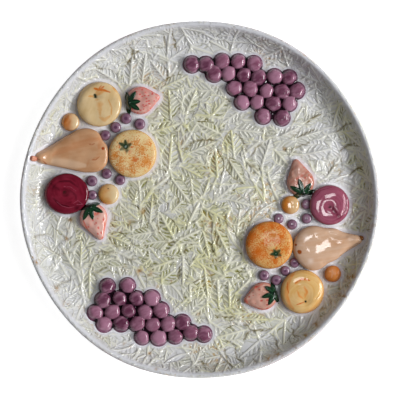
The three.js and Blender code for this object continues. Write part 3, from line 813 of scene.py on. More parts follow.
def nearSpot(points, order, spot, reach):  # numbers of the points in a square; order goes along x
    first, last = np.searchsorted(points[order, 0], [spot[0] - reach, spot[0] + reach])
    strip = order[first:last]
    return strip[np.abs(points[strip, 1] - spot[1]) < reach]


def drawLeaves(points, sprays):  # the leaf that shows at each point, its plan there, and the stems over it
    owner = np.full(len(points), -1)
    plan = np.zeros((len(points), 3))
    half = np.full(len(points), 0.005)
    stemHeight = np.zeros(len(points))
    creaseDepth = np.zeros(len(points))
    leaves = []
    order = np.argsort(points[:, 0])
    ease = relief["creaseEase"]
    for stem, sprayLeaves, (hand, first, run, creased) in sprays:
        for leaf in sprayLeaves:
            near = nearSpot(points, order, leaf["base"], leaf["length"] * 1.05)
            along, across, inside, width = leafPlan(points[near], leaf)
            here = inside > 0
            spot = near[here]
            owner[spot] = len(leaves)
            plan[spot] = np.column_stack([along, across, inside])[here]
            half[spot] = width[here]
            stemHeight[spot] = 0
            creaseDepth[spot] = 0
            leaves.append(leaf)
        path = np.array(stem)
        near = nearSpot(points, order, path.mean(0), relief["stemCatch"])
        gap, along = strokeGap(points[near], path)
        ridge = np.exp(-((gap / (relief["stemWidth"] * (1.15 - 0.5 * along))) ** 2))
        stemHeight[near] = np.maximum(stemHeight[near], ridge)
        if creased:
            way = path[-1] - path[0]
            side = hand * np.array([-way[1], way[0]]) / np.linalg.norm(way)
            gap, along = strokeGap(points[near] - relief["creaseAway"] * side, path)
            fade = rampUp(along, first, first + ease) * (1 - rampUp(along, first + run - ease, first + run))
            depth = fade * np.exp(-((gap / relief["creaseWidth"]) ** 2))
            creaseDepth[near] = np.maximum(creaseDepth[near], depth)
    return owner, plan, half, stemHeight, creaseDepth, leaves


def perLeaf(leaves, key, owner, bare):  # each point has its own leaf's value, or that of the bare ground
    return np.array([leaf[key] for leaf in leaves] + [bare])[owner]


def veinRidge(along, across, every):  # 1 on a vein, 0 half way to the next
    phase = (along - np.abs(across) / math.tan(math.radians(relief["veinLean"]))) / every
    return 0.5 + 0.5 * np.cos(2 * math.pi * phase)


# A hexagon of fine triangles, with the ring and the angle that each of its points is drawn out to
def spreadHexagon():
    deselectAll()
    bpy.ops.mesh.primitive_circle_add(vertices=6, radius=1, fill_type="TRIFAN")
    plate = takePiece("glazed_plate")
    editAll(plate)
    for cuts in plateMesh["rings"]:
        bpy.ops.mesh.subdivide(number_cuts=cuts)
    bpy.ops.object.mode_set(mode="OBJECT")
    flat = readPoints(plate)[:, :2]
    corner = flat[np.abs(np.linalg.norm(flat, axis=1) - 1) < 1e-5][0]
    first = math.atan2(corner[1], corner[0])
    facing = first + math.pi / 6 + np.arange(6) * math.pi / 3
    pull = flat @ inPlan(facing).T / math.cos(math.pi / 6)
    sector = pull.argmax(1)
    ring = pull.max(1)
    tangent = np.column_stack([-np.sin(facing), np.cos(facing)])[sector]
    run = (flat * tangent).sum(1) / np.maximum(ring, 1e-9) + 0.5
    return plate, ring, first + (sector + run) * math.pi / 3, first


def glazeProfile():  # radius and height, length along the glaze, and slope
    lean = math.radians(dish["rimLean"])
    lipTurn = np.linspace(lean + math.pi / 2, math.pi / 2, plateMesh["profileSteps"])[1:]
    profile = np.vstack([[[0, dish["floorTop"]]], wall, lipArc(lipTurn)])
    length = np.append(0, np.cumsum(np.linalg.norm(np.diff(profile, axis=0), axis=1)))
    return profile, length, np.concatenate([[0], wallSlope, lipTurn - math.pi / 2])


def leafHeight(leafPlans, half, owner, leaves):
    along, across, inside = leafPlans.T
    inLeaf = owner >= 0
    crisp = perLeaf(leaves, "crisp", owner, 0.0)
    midrib = np.exp(-((across / relief["midribWidth"]) ** 2)) * rampUp(inside, 0.0, 0.3)
    veins = veinRidge(along, across, perLeaf(leaves, "veinEvery", owner, 1.0))
    veins = veins * rampUp(inside, 0.02, 0.2) * rampUp(np.abs(across), 0.0003, 0.0012)
    outline = np.exp(-((inside * half / relief["outlineWidth"]) ** 2))
    dark = perLeaf(leaves, "darkEdge", owner, 0) * np.sign(across) > 0
    outline = np.where(dark, -0.5 * outline, outline)
    height = inLeaf * (relief["leafLift"] + relief["leafCup"] * (1 - (1 - inside) ** 2))
    share = along / perLeaf(leaves, "length", owner, 1.0)
    roof = np.interp(share, *relief["mainRoof"]) * (relief["mainRidge"] + relief["mainRoot"])
    main = perLeaf(leaves, "main", owner, 0) > 0
    height = np.where(main, np.maximum(roof * inside - relief["mainRoot"], 0.0), height)
    height += crisp * (relief["vein"] * veins + relief["midrib"] * midrib)
    return height + inLeaf * relief["outline"] * outline


def foldsAndRust(above, reach):
    fold, rust = np.zeros(len(above)), np.zeros(len(above))
    order = np.argsort(above[:, 0])
    for number, line in enumerate(creaseLines):
        run = np.array(line) * mm
        near = nearSpot(above, order, run.mean(0), relief["foldCatch"])
        stray = relief["foldStray"] * lumps(above[near], number, relief["foldWave"], 6)
        off, way = strokeGap(above[near] + stray[:, None], run)
        width = relief["foldWidth"] * (0.30 + 0.70 * np.sin(math.pi * way))
        fold[near] = np.maximum(fold[near], np.exp(-((off / width) ** 2)))
    for x, y, size in rustSpots:
        off = np.hypot(above[:, 0] - x * mm, above[:, 1] - y * mm)
        rust = np.maximum(rust, np.exp(-((off / (relief["rustSpread"] * mm * size)) ** 2)))
    return fold * (1 - rampUp(reach, *relief["foldFade"])), rust


def carryLeafPlans(plate, bench, sprays, leaves):  # each small face belongs to one leaf and carries its plan
    corner = np.empty(len(plate.data.loops), np.int32)
    plate.data.loops.foreach_get("vertex_index", corner)
    corner = corner.reshape(-1, 3)
    faceOwner = drawLeaves(bench[corner].mean(1), sprays)[0]
    cornerPlan = np.zeros((len(corner), 3, 3))
    order = np.argsort(faceOwner, kind="stable")
    bounds = np.searchsorted(faceOwner[order], np.arange(len(leaves) + 1))
    for number, leaf in enumerate(leaves):
        faces = order[bounds[number]:bounds[number + 1]]
        if len(faces):
            along, across, inside, half = leafPlan(bench[corner[faces]].reshape(-1, 2), leaf)
            inward = np.maximum(inside * half, 0.01 * mm) / mm  # millimetres in from the leaf's edge
            values = np.column_stack([along / leaf["veinEvery"], across / leaf["veinEvery"], inward])
            cornerPlan[faces] = values.reshape(-1, 3, 3)
    carried = plate.data.attributes.new("leafPlan", "FLOAT_VECTOR", "CORNER")
    carried.data.foreach_set("vector", cornerPlan.astype(np.float32).ravel())
    keepMask(plate, "leafTone", perLeaf(leaves, "tone", faceOwner, 0.5), "FACE")
    keepMask(plate, "leafCrisp", perLeaf(leaves, "crisp", faceOwner, 0.0), "FACE")
    keepMask(plate, "darkEdge", perLeaf(leaves, "darkEdge", faceOwner, 0.0), "FACE")


def buildPlate():
    plate, ring, angle, first = spreadHexagon()
    profile, length, slope = glazeProfile()
    reach = ring * length[-1]
    bench = reach[:, None] * inPlan(angle)
    level = np.interp(reach, length, profile[:, 0])
    above = level[:, None] * inPlan(angle)

    # Leaves, stems, folds and plain glaze
    sprays = growSprays()
    owner, leafPlans, half, stemHeight, creaseDepth, leaves = drawLeaves(bench, sprays)
    height = leafHeight(leafPlans, half, owner, leaves)
    height += relief["stem"] * stemHeight - relief["creaseDepth"] * creaseDepth
    fold, rust = foldsAndRust(above, reach)
    creaseDepth = np.maximum(creaseDepth, fold)
    height -= relief["foldDepth"] * fold
    fruitGap, grapeGap = nearestFruit(above), nearestGrape(above)
    gap = np.minimum(fruitGap, grapeGap)
    plain = np.maximum(1 - rampUp(gap, *relief["plainGap"]), rampUp(reach, *relief["plainFade"]))
    flatLift = relief["plainLift"] * (1 - rampUp(reach, *relief["plainLevel"]))
    height = height * (1 - plain) + plain * flatLift
    height += relief["haloRing"] * np.exp(-(((gap - relief["haloAway"]) / relief["haloWidth"]) ** 2))
    uneven = relief["uneven"] * lumps(bench, relief["unevenSeed"], relief["unevenSize"])
    height += uneven * (1 - rampUp(reach, *relief["unevenFade"]))

    # Heights are set square to the glaze
    tilt = np.interp(reach, length, slope)
    radius = level - np.sin(tilt) * height
    radius = radius + strayAt(radius, angle)
    up = np.interp(reach, length, profile[:, 1]) + np.cos(tilt) * height
    movePoints(plate, np.column_stack([radius[:, None] * inPlan(angle), up]))
    # halo mask: pale glaze round fruit and grapes, also painted light that offsets the shade at their feet
    pale = [1 - rampUp(fruitGap, *relief["haloFruit"]), 1 - rampUp(grapeGap, *relief["haloGrapes"])]
    keepMask(plate, "plain", plain)
    keepMask(plate, "stem", stemHeight * (1 - plain))
    keepMask(plate, "crease", creaseDepth * (1 - np.where(gap < relief["creaseClear"], plain, 0)))
    keepMask(plate, "rust", rust)
    keepMask(plate, "halo", np.maximum(*pale))
    carryLeafPlans(plate, bench, sprays, leaves)

    under = spinUnderside(6 * round(1 / np.min(ring[ring > 1e-6])), first)
    pickOnly(plate, under)
    bpy.ops.object.join()
    editAll(plate)
    bpy.ops.mesh.remove_doubles(threshold=plateMesh["weld"])
    bpy.ops.mesh.normals_make_consistent(inside=False)
    bpy.ops.object.mode_set(mode="OBJECT")
    print("plate has", len(plate.data.polygons), "faces and", len(leaves), "leaves")
    return plate


def spinUnderside(steps, first):  # over the lip, down the back of the wall and across the foot ring
    lip = lipArc(np.linspace(math.pi / 2, math.radians(dish["rimLean"]) - math.pi / 2, plateMesh["lipSteps"]))
    t = np.linspace(1, 0, plateMesh["undersideSteps"])[1:]
    at = (t * (len(wall) - 1)).astype(int)
    thick = 2 * dish["lip"] + (dish["floorThickness"] - 2 * dish["lip"]) * (1 - t)
    back = wall[at] + thick[:, None] * np.column_stack([np.sin(wallSlope[at]), -np.cos(wallSlope[at])])
    draft, ease = dish["footDraft"], dish["footEase"]
    foot = [
        (dish["footOuter"], dish["footHeight"]),
        (dish["footOuter"] - draft, ease),
        (dish["footOuter"] - draft - ease, 0),
        (dish["footInner"] + draft + ease, 0),
        (dish["footInner"] + draft, ease),
        (dish["footInner"], dish["footHeight"]),
        (dish["underRing"], dish["footHeight"]),
        (0, dish["footHeight"]),
    ]
    points = np.vstack([lip, back, foot])
    x, y = headed(first)
    mesh = bpy.data.meshes.new("underside")
    edges = [(number, number + 1) for number in range(len(points) - 1)]
    mesh.from_pydata([(radius * x, radius * y, height) for radius, height in points], edges, [])
    under = bpy.data.objects.new("underside", mesh)
    bpy.context.scene.collection.objects.link(under)
    editAll(under)
    bpy.ops.mesh.spin(steps=steps, angle=2 * math.pi, center=(0, 0, 0), axis=(0, 0, 1))
    bpy.ops.mesh.select_all(action="SELECT")
    bpy.ops.mesh.remove_doubles(threshold=plateMesh["spinWeld"])
    bpy.ops.object.mode_set(mode="OBJECT")
    spun = readPoints(under)
    radius = np.hypot(spun[:, 0], spun[:, 1])
    angle = np.arctan2(spun[:, 1], spun[:, 0])
    strayed = radius + strayAt(radius, angle)
    movePoints(under, np.column_stack([strayed[:, None] * inPlan(angle), spun[:, 2]]))
    return under


# Veins, midribs and edges of the leaves, drawn crisp from each leaf's own plan
def makeLeafGroup():
    outputs = {"Ridge": "value", "Pool": "value", "Edge": "value"}
    tree, w, given, out = newGroup("leafRelief", {"Wobble": "value"}, outputs)
    plan = w.add("ShaderNodeAttribute", attribute_name="leafPlan").outputs["Vector"]
    along, across, inward = w.parts(plan)
    sway = w.times(w.math("SUBTRACT", w.noise(w.objectPoint(), 160, 2), 0.5), given["Wobble"])
    far = w.math("ABSOLUTE", across)
    phase = w.math("SUBTRACT", along, w.math("DIVIDE", far, math.tan(math.radians(relief["veinLean"]))))
    phase = w.math("ADD", phase, sway)
    wave = w.math("COSINE", w.times(phase, 2 * math.pi))
    vein = w.times(w.ramp(wave, 0.2, 0.95), w.ramp(inward, 0.3, 1.2), w.mask("leafCrisp"))
    midrib = w.times(w.ramp(far, 0.30, 0.10), w.ramp(inward, 0.0, 0.6))
    inLeaf = w.ramp(inward, 0.0, 0.02)
    side = w.times(w.math("SIGN", across), w.mask("darkEdge"), clamp=True)
    # dark line along one edge of a leaf: pooled colour, and painted shade beside the raised edge
    darkEdge = w.times(w.ramp(inward, 1.3, 0.5), inLeaf, side)
    edge = w.times(w.ramp(inward, 1.15, 0.45), inLeaf, w.rest(side), 0.9)
    loose = w.times(w.ramp(w.noise(w.objectPoint(), 230, 3), 0.44, 0.60), w.ramp(inward, 0.02, 0.0), 0.7)
    ridge = w.most(vein, midrib, edge, w.mask("stem"), loose)
    cell = w.joined(w.math("FLOOR", phase), w.math("SIGN", across), w.times(w.mask("leafTone"), 97.0))
    chance = w.add("ShaderNodeTexWhiteNoise", {"Vector": cell}, noise_dimensions="3D").outputs["Value"]
    trough = w.times(w.ramp(wave, -0.15, -0.85), w.ramp(inward, 0.6, 1.8), w.ramp(far, 0.22, 0.5))
    pool = w.times(trough, w.ramp(chance, 0.15, 0.85))  # one chance for each hollow between two veins
    w.feedAll(out, {"Ridge": ridge, "Pool": pool, "Edge": darkEdge})
    return tree


leafGroup = makeLeafGroup()

plateColours = {
    "blade": tint(206, 206, 209),
    "rim": tint(214, 215, 221),
    # halo: pale glaze round the fruit, made lighter still as painted light where the fruit's shade falls
    "halo": tint(230, 231, 237),
    "crest": tint(222, 221, 200),
    "wash": tint(192, 193, 160),
    "lime": tint(212, 210, 160),
    "hollow": tint(146, 145, 88),
    "deep": tint(94, 86, 34),
    "ochre": tint(184, 142, 56),
    "rust": tint(158, 114, 36),
    # darkEdge: pooled colour and painted shade along one leaf edge
    "darkEdge": tint(106, 97, 42),
    "crease": tint(106, 92, 36),
    "edgeLine": tint(200, 186, 190),
    "clay": tint(206, 178, 150),
}
plateWash = {  # where colour lies: metres from and to, then the shares there
    "fade": (0.080, 0.155, 1.0, 0.40),  # by radius, less towards the rim
    "corner": (0.17, -0.04, 0.55, 1.15),  # by x and y together, more at the lower left
    "stainAndShadeSide": (0.095, 0.140),  # by x: colour ran down the wall on the right, where it also darkens the wall as painted shade
    "stainAndShadeWall": (0.125, 0.145, 0.0, 0.9),
    "rim": (0.08, 0.15),
    "lipLine": (0.1588, 0.1597),
    "lipHeight": (0.020, 0.0235),
    "bareFoot": (0.0009, 0.0004),  # by height: the foot ring is not glazed
    "wallRelief": (0.128, 0.146, 1.0, 1.7),
    "reliefHeight": 0.00032,
}


def makePlateGlaze():
    material, shader, w = newMaterial("plateGlaze")
    at = w.objectPoint()
    x, y, z = w.parts(at)
    radius = w.planRadius(at)
    leaf = w.group(leafGroup, Wobble=1.5)
    bare = w.rest(w.mask("plain"))
    ridge = w.times(leaf["Ridge"], bare)
    hollow = w.times(w.rest(leaf["Ridge"]), bare)
    pool = w.times(leaf["Pool"], bare)
    zone, patch, dash = w.noise(at, 10, 2), w.noise(at, 130, 3), w.noise(at, 330, 2)

    # How strong the colour is at each place
    corner = w.ramp(w.math("ADD", x, y), *plateWash["corner"])
    strength = w.times(w.ramp(radius, *plateWash["fade"]), w.ramp(zone, 0.3, 0.7, 0.7, 1.25), corner)
    # more colour on the right wall: stains there, and painted shade on the wall that faces away from the
    # light
    stainedAndShaded = w.times(w.ramp(x, *plateWash["stainAndShadeSide"]), w.ramp(radius, *plateWash["stainAndShadeWall"]))
    strength = w.times(w.most(strength, stainedAndShaded), w.ramp(w.mask("leafTone"), 0.05, 0.8, 0.45, 1.15))

    # Each colour lies over the ones before it
    washed = w.times(hollow, strength, w.ramp(patch, 0.25, 0.65, 0.25, 1.0), clamp=True)
    pooled = w.times(pool, strength, w.ramp(dash, 0.3, 0.6, 0.45, 1.1), clamp=True)
    deep = w.times(pool, w.ramp(dash, 0.46, 0.64), w.ramp(patch, 0.44, 0.64), clamp=True)
    warm = w.times(w.ramp(w.noise(at, 26, 2), 0.54, 0.70), w.ramp(dash, 0.42, 0.62), hollow, 0.7)
    broken = w.ramp(patch, 0.42, 0.60, 0.05, 1.0)
    # edged: painted shade, over pooled colour, along the leaf's dark edge
    edged = w.times(leaf["Edge"], bare, w.ramp(dash, 0.34, 0.58, 0.1, 1.0), broken)
    crest = w.times(w.ramp(ridge, 0.25, 0.8), w.ramp(strength, 0.1, 0.8, 0.35, 0.9))
    yellow = w.times(w.ramp(w.noise(at, 60, 2), 0.42, 0.64), w.ramp(strength, 0.2, 0.9))
    crease = w.times(w.mask("crease"), w.ramp(dash, 0.3, 0.5, 0.5, 1.0), w.ramp(zone, 0.35, 0.6, 0.6, 1.0))
    rust = w.times(w.mask("rust"), w.ramp(w.noise(at, 240, 3), 0.38, 0.62), 0.9)
    lipLine = w.times(w.ramp(radius, *plateWash["lipLine"]), w.ramp(z, *plateWash["lipHeight"]))
    foot = w.ramp(z, *plateWash["bareFoot"])
    layers = [
        (w.times(washed, 0.85), plateColours["wash"]),
        (pooled, plateColours["hollow"]),
        (w.times(deep, w.ramp(strength, 0.3, 1.0)), plateColours["deep"]),
        (warm, plateColours["ochre"]),
        # dark leaf edge: pooled colour and painted shade
        (w.times(edged, w.ramp(strength, 0.1, 0.9, 0.4, 1.0)), plateColours["darkEdge"]),
        (crest, w.mix(yellow, plateColours["crest"], plateColours["lime"])),
        (crease, plateColours["crease"]),
        (rust, plateColours["rust"]),
        # pale halo: real pale glaze plus painted light against the contact shade round the fruit
        (w.mask("halo"), plateColours["halo"]),
        (w.times(lipLine, w.ramp(patch, 0.3, 0.6, 0.25, 0.8)), plateColours["edgeLine"]),
        (foot, plateColours["clay"]),
    ]
    colour = w.mix(w.ramp(radius, *plateWash["rim"]), plateColours["blade"], plateColours["rim"])
    for cover, tone in layers:
        colour = w.mix(cover, colour, tone)

    finish = w.group(glazeGroup, Colour=colour, Drift=0.10)
    height = w.math("ADD", ridge, w.times(finish["Height"], 0.35))
    height = w.math("SUBTRACT", height, w.times(pool, 0.5))
    height = w.times(height, w.ramp(radius, *plateWash["wallRelief"]))
    w.feedAll(shader.inputs, {
        "Base Color": finish["Colour"],
        "Roughness": w.most(finish["Roughness"], w.times(foot, 0.8)),
        "Normal": w.bump(height, plateWash["reliefHeight"]),
        "Coat Weight": 0.12,
        "Coat Roughness": 0.05,
    })
    return material


plate = buildPlate()
finishPiece(plate, makePlateGlaze(), "plate_glaze", "plate_body")

# Fruit glazes: a brushed base, a second tone, washes, specks, strokes and ink dots
plainPaint = {
    "ringEvery": 520,  # strokes that go round, over a metre
    "streakShare": 0.8,
    "patchShare": 0.4,
    "washShare": 0.85,
    "edgeFrom": 0.86,  # of the way out to the outline
    "edgeShare": 0.7,
    "drift": 0.14,
    "ripple": 0.00006,
    "gloss": 0.4,
    "shine": 0.5,
}


def fruitGlaze(name, form, ownPaint):
    material, shader, w = newMaterial(name)
    paint = {**plainPaint, **ownPaint}
    at = w.objectPoint()
    centre = (form["middle"][0], form["middle"][1], 0)
    if "rings" in paint:  # strokes that go round the fruit
        eye = (centre[0] + paint["rings"][0], centre[1] + paint["rings"][1], 0)
        reach = w.math("ADD", w.planRadius(at, eye), w.times(w.noise(at, 45, 1), 0.008))
        plan = w.joined(w.times(reach, paint["ringEvery"]), w.times(w.noise(at, 60, 1), 1.5))
    else:
        turn, long, wide = paint["brush"]
        plan = w.turned(at, centre, turn, (long, wide, 0.02))
    brush = w.group(brushGroup, Plan=plan)
    streak, patch = brush["Streak"], brush["Patch"]
    colour = w.mix(w.times(streak, paint["streakShare"]), paint["base"], paint["second"])
    colour = w.mix(w.times(patch, paint["patchShare"]), colour, paint["third"])
    if "side" in paint:  # a wash that is thick on one side and thin on the other
        turn, spread, wash = paint["side"]
        across = w.parts(w.turned(at, centre, turn, (spread, spread, spread)))[0]
        swell = w.math("ADD", across, w.times(w.math("SUBTRACT", patch, 0.5), 0.35))
        colour = w.mix(w.ramp(swell, -0.75, 0.75), colour, wash)
    if "wash" in paint:
        cover = w.times(w.mask("wash"), w.ramp(streak, 0.0, 1.0, 0.65, 1.0), paint["washShare"])
        colour = w.mix(cover, colour, paint["wash"])
    if "speck" in paint:
        crowd = w.math("ADD", w.times(w.mask("crowd"), 0.55), paint["speckAll"])
        specks = w.group(spongeGroup, Crowd=crowd, Size=paint["speckSize"])["Speck"]
        cover = w.times(specks, w.ramp(w.noise(at, 260, 1), 0.3, 0.7, 0.55, 1.0))
        colour = w.mix(cover, colour, paint["speck"])
    if "seeds" in paint:
        size, share, tone = paint["seeds"]
        cells = w.turned(at, centre, paint["brush"][0], (size * 1.5, size, size))
        colour = w.mix(w.times(w.group(seedGroup, Plan=cells, Share=share)["Seed"], 0.8), colour, tone)
    rim = w.times(w.ramp(w.mask("edge"), paint["edgeFrom"], 1.0), paint["edgeShare"])
    colour = w.mix(w.times(rim, w.ramp(patch, 0.0, 1.0, 0.55, 1.0)), colour, paint["edge"])
    if "core" in paint:
        tone, share = paint["core"]
        colour = w.mix(w.ramp(w.mask("edge"), share, share * 0.45), colour, tone)
    if "stroke" in paint:
        thin = w.ramp(w.noise(at, 420, 2), 0.25, 0.6, 0.55, 1.0)
        colour = w.mix(w.times(w.mask("stroke"), thin), colour, paint["stroke"])
    for mark in ("ink", "pale"):
        if mark in paint:
            colour = w.mix(w.mask(mark), colour, paint[mark])
    addGlaze(w, shader, colour, paint["drift"], paint["ripple"], paint["gloss"], paint["shine"])
    return material


def coats(base, second, third):  # three tones of one brushed glaze
    return {"base": tint(*base), "second": tint(*second), "third": tint(*third)}


def mmPath(*points):
    return [(x * mm, y * mm) for x, y in points]


def dots(*spots):  # x, y and radius in millimetres
    return [(r * mm, mmPath((x, y))) for x, y, r in spots]


def brushed(width, *points):
    return (width * mm, mmPath(*points))


ink = tint(26, 40, 22)

# Apples: cream with ochre brushwork, a dark eye and a crease through it
appleLook = {
    "left": {
        "look": {"height": 0.0092, "fullness": 0.42, "lumpy": 0.00010, "seed": 4,
                 "hollows": [((-0.0032, 0.0068), 0.0011, 0.0045)],
                 "creases": [(mmPath((-17, 5.2), (-3.4, 6.6), (6, 4.6), (18, 5)), 0.00035, 0.0012)]},
        "paint": {**coats((218, 190, 144), (204, 172, 120), (222, 200, 160)),
                  "brush": (70, 0.03, 0.006), "edge": tint(176, 140, 86), "edgeFrom": 0.93,
                  "wash": tint(206, 138, 58), "washShare": 0.95, "stroke": tint(196, 100, 30), "ink": ink,
                  "gloss": 0.1, "shine": 0.3},
        "marks": {
            "ink": dots((-3.6, 7.9, 1.4), (-3.2, 6.8, 1.6), (-2.8, 5.8, 1.2)),
            "stroke": [brushed(1.5, (-5.2, 15.4), (-3.0, 13.9), (0, 12.7), (4.5, 12.4), (9.8, 10.5)),
                       brushed(1.3, (1.6, 16.6), (0.6, 14.6), (0, 12.7)), brushed(1.2, (4.4, 15.6), (1, 13))],
            "wash": [brushed(2.2, (0.4, 12.8), (-1.4, 10.4), (-1.6, 8.2)),
                     brushed(1.9, (5, 12.2), (1, 9.6), (-2, 8)),
                     brushed(1.9, (-2, 4.4), (0.4, 0), (0.8, -6), (1.2, -10)),
                     brushed(1.8, (-5.5, 15), (-1, 12.8)),
                     brushed(1.8, (1, 12.6), (8, 11.2)), brushed(2.2, (1, -12), (5, -14.4), (9.5, -11)),
                     brushed(1.4, (0, 1), (4.4, 0.6)), brushed(1.2, (-10, 7.6), (-5, 6.6)),
                     brushed(0.9, (11, -9.6), (11.4, -3), (8.6, 3.4)),
                     brushed(1.0, (12.6, 14.8), (16, 10.6))],
        },
    },
    "right": {
        "look": {"height": 0.0098, "fullness": 0.52, "lumpy": 0.00014, "seed": 9, "lumpSize": 0.020,
                 "hollows": [((0.0026, -0.0085), 0.0010, 0.0050)],
                 "creases": [(mmPath((10, -8), (16, -4), (18, 3), (15, 10)), 0.0007, 0.0014),
                             (mmPath((-3, -3), (2, 0), (3, 5), (-2, 8), (-8, 5)), 0.00012, 0.0018)]},
        "paint": {**coats((216, 178, 116), (206, 154, 84), (222, 194, 146)),
                  "rings": (0.0, -0.002), "edge": tint(206, 132, 44), "edgeFrom": 0.90,
                  "wash": tint(214, 122, 36), "stroke": tint(196, 92, 22), "ink": ink},
        "marks": {
            "ink": dots((2.7, -8.5, 1.15)),
            "stroke": [brushed(1.0, (-6.5, 8), (-1, 11.6), (3.4, 11.4), (6.4, 10.2)),
                       brushed(0.8, (-5.3, -11.4), (-1.5, -10.2), (1.9, -8.7)),
                       brushed(0.8, (-13.4, 8.4), (-13.6, 3), (-12.2, -1.2))],
            "wash": [brushed(2.4, (-7.2, 18), (-12.6, 9), (-14.5, -2), (-12, -11), (-8, -15)),
                     brushed(1.7, (-6.4, 7.6), (-1, 11.4), (6.4, 10.4)),
                     brushed(1.6, (1.4, 4.8), (4, 0.4), (2, -4.4)),
                     brushed(1.2, (-4.6, 1), (-3, -3.5), (0, -5.6))],
        },
    },
}


def starMarks(x, y, tips):
    arms = [brushed(2.7, (x, y), ((x + tx) / 2 + 0.2, (y + ty) / 2), (tx, ty)) for tx, ty in tips]
    return arms + dots((x, y, 2.7))


# Oranges: pale ochre under a sponged orange-brown, with a small painted star
orangeLook = {
    "left": {
        "look": {"height": 0.0098, "fullness": 0.42, "lumpy": 0.00012, "seed": 6,
                 "hollows": [((-0.0061, 0.0062), 0.0005, 0.004)]},
        "paint": {**coats((224, 200, 148), (214, 180, 118), (228, 208, 166)),
                  "brush": (40, 0.02, 0.009), "edge": tint(208, 158, 84), "edgeFrom": 0.9,
                  "wash": tint(222, 146, 62), "washShare": 0.7, "speck": tint(206, 122, 44),
                  "speckSize": 900.0, "speckAll": 0.46, "gloss": 0.08, "shine": 0.3,
                  "stroke": tint(200, 84, 22), "ink": tint(24, 54, 34), "pale": tint(196, 206, 196)},
        "marks": {
            "ink": starMarks(-6.1, 6.2, [(-11.4, 9.2), (-6.5, 11.6), (-1.6, 8.6), (-4.6, 1.6), (-10.6, 3.6)]),
            "pale": dots((-6.0, 6.3, 0.75)),
            "stroke": [brushed(0.7, (-3.4, 12.8), (-3.8, 9.2)), brushed(0.9, (-1.2, 10.4), (-2.4, 8)),
                       brushed(1.2, (0.6, 6.8), (-2.2, 4.6)), brushed(0.9, (-12.2, 8.4), (-11.2, 4.6)),
                       brushed(0.8, (-1.4, 3.4), (-3.6, 2.2)), brushed(0.7, (-6.6, 0.8), (-5.6, 2.4)),
                       brushed(1.6, (0.6, -4.6), (2.0, -6.6), (4.4, -4.8))],
            "wash": dots((2.2, -5.1, 3.6), (12.7, -7.0, 5.4), (-16, -2.2, 3.6), (8.6, 3.4, 3.2),
                         (5.6, -9.5, 3.0), (-1.4, -8, 3.0)),
            "crowd": dots((2.2, -5.1, 5.0), (12.7, -7.0, 7.0), (-16, -2.2, 6.0), (-11.2, -12.7, 7.5),
                          (3.2, 9.3, 4.5), (8.6, 3, 5.5), (0, -14, 6.0), (-10, -6, 5.0), (14, 9, 4.0)),
        },
    },
    "right": {
        "look": {"height": 0.0102, "fullness": 0.48, "lumpy": 0.00014, "seed": 12,
                 "hollows": [((0.0058, -0.0077), 0.0006, 0.004)]},
        "paint": {**coats((208, 166, 104), (200, 146, 76), (212, 178, 124)),
                  "brush": (30, 0.02, 0.009), "edge": tint(200, 118, 36), "edgeFrom": 0.88,
                  "wash": tint(212, 110, 26), "washShare": 0.9, "speck": tint(196, 98, 28),
                  "speckSize": 850.0, "speckAll": 0.50, "gloss": 0.0, "shine": 0.12,
                  "stroke": tint(196, 78, 20), "ink": tint(24, 54, 34), "pale": tint(150, 160, 140)},
        "marks": {
            "ink": starMarks(5.8, -7.7, [(1.4, -8.2), (3.9, -4.2), (9.2, -4.6), (10.0, -9.2), (5.4, -11.4)]),
            "pale": dots((5.9, -7.6, 0.4)),
            "stroke": [brushed(0.9, (1.6, -4.6), (3.6, -5.6)), brushed(0.9, (11.4, -7.2), (9.4, -7.6)),
                       brushed(0.8, (1.8, -10.4), (3.8, -10.2)), brushed(0.7, (10.6, -11.6), (8.8, -10)),
                       brushed(0.7, (6.2, -1.6), (6, -4))],
            "wash": dots((-17, 8, 5.5), (-18.5, 1, 4.0), (-8.5, 17, 4.5), (1.2, 18.6, 4.2), (10.8, 16.4, 4.0),
                         (-10.4, -5.8, 6.0), (-4.2, -8.6, 4.0), (-14, -10, 3.4), (10.9, 8, 3.0)),
            "crowd": dots((-16, 7, 8.0), (-7, 15, 7.0), (2, 17, 6.0), (11, 14, 6.0), (-10, -6, 9.0),
                          (-4, 2, 6.0), (9, 5, 7.5), (3, 8, 7.0), (14, -3, 5.0), (4, -13, 6.0),
                          (-14, -12, 4.0)),
        },
    },
}

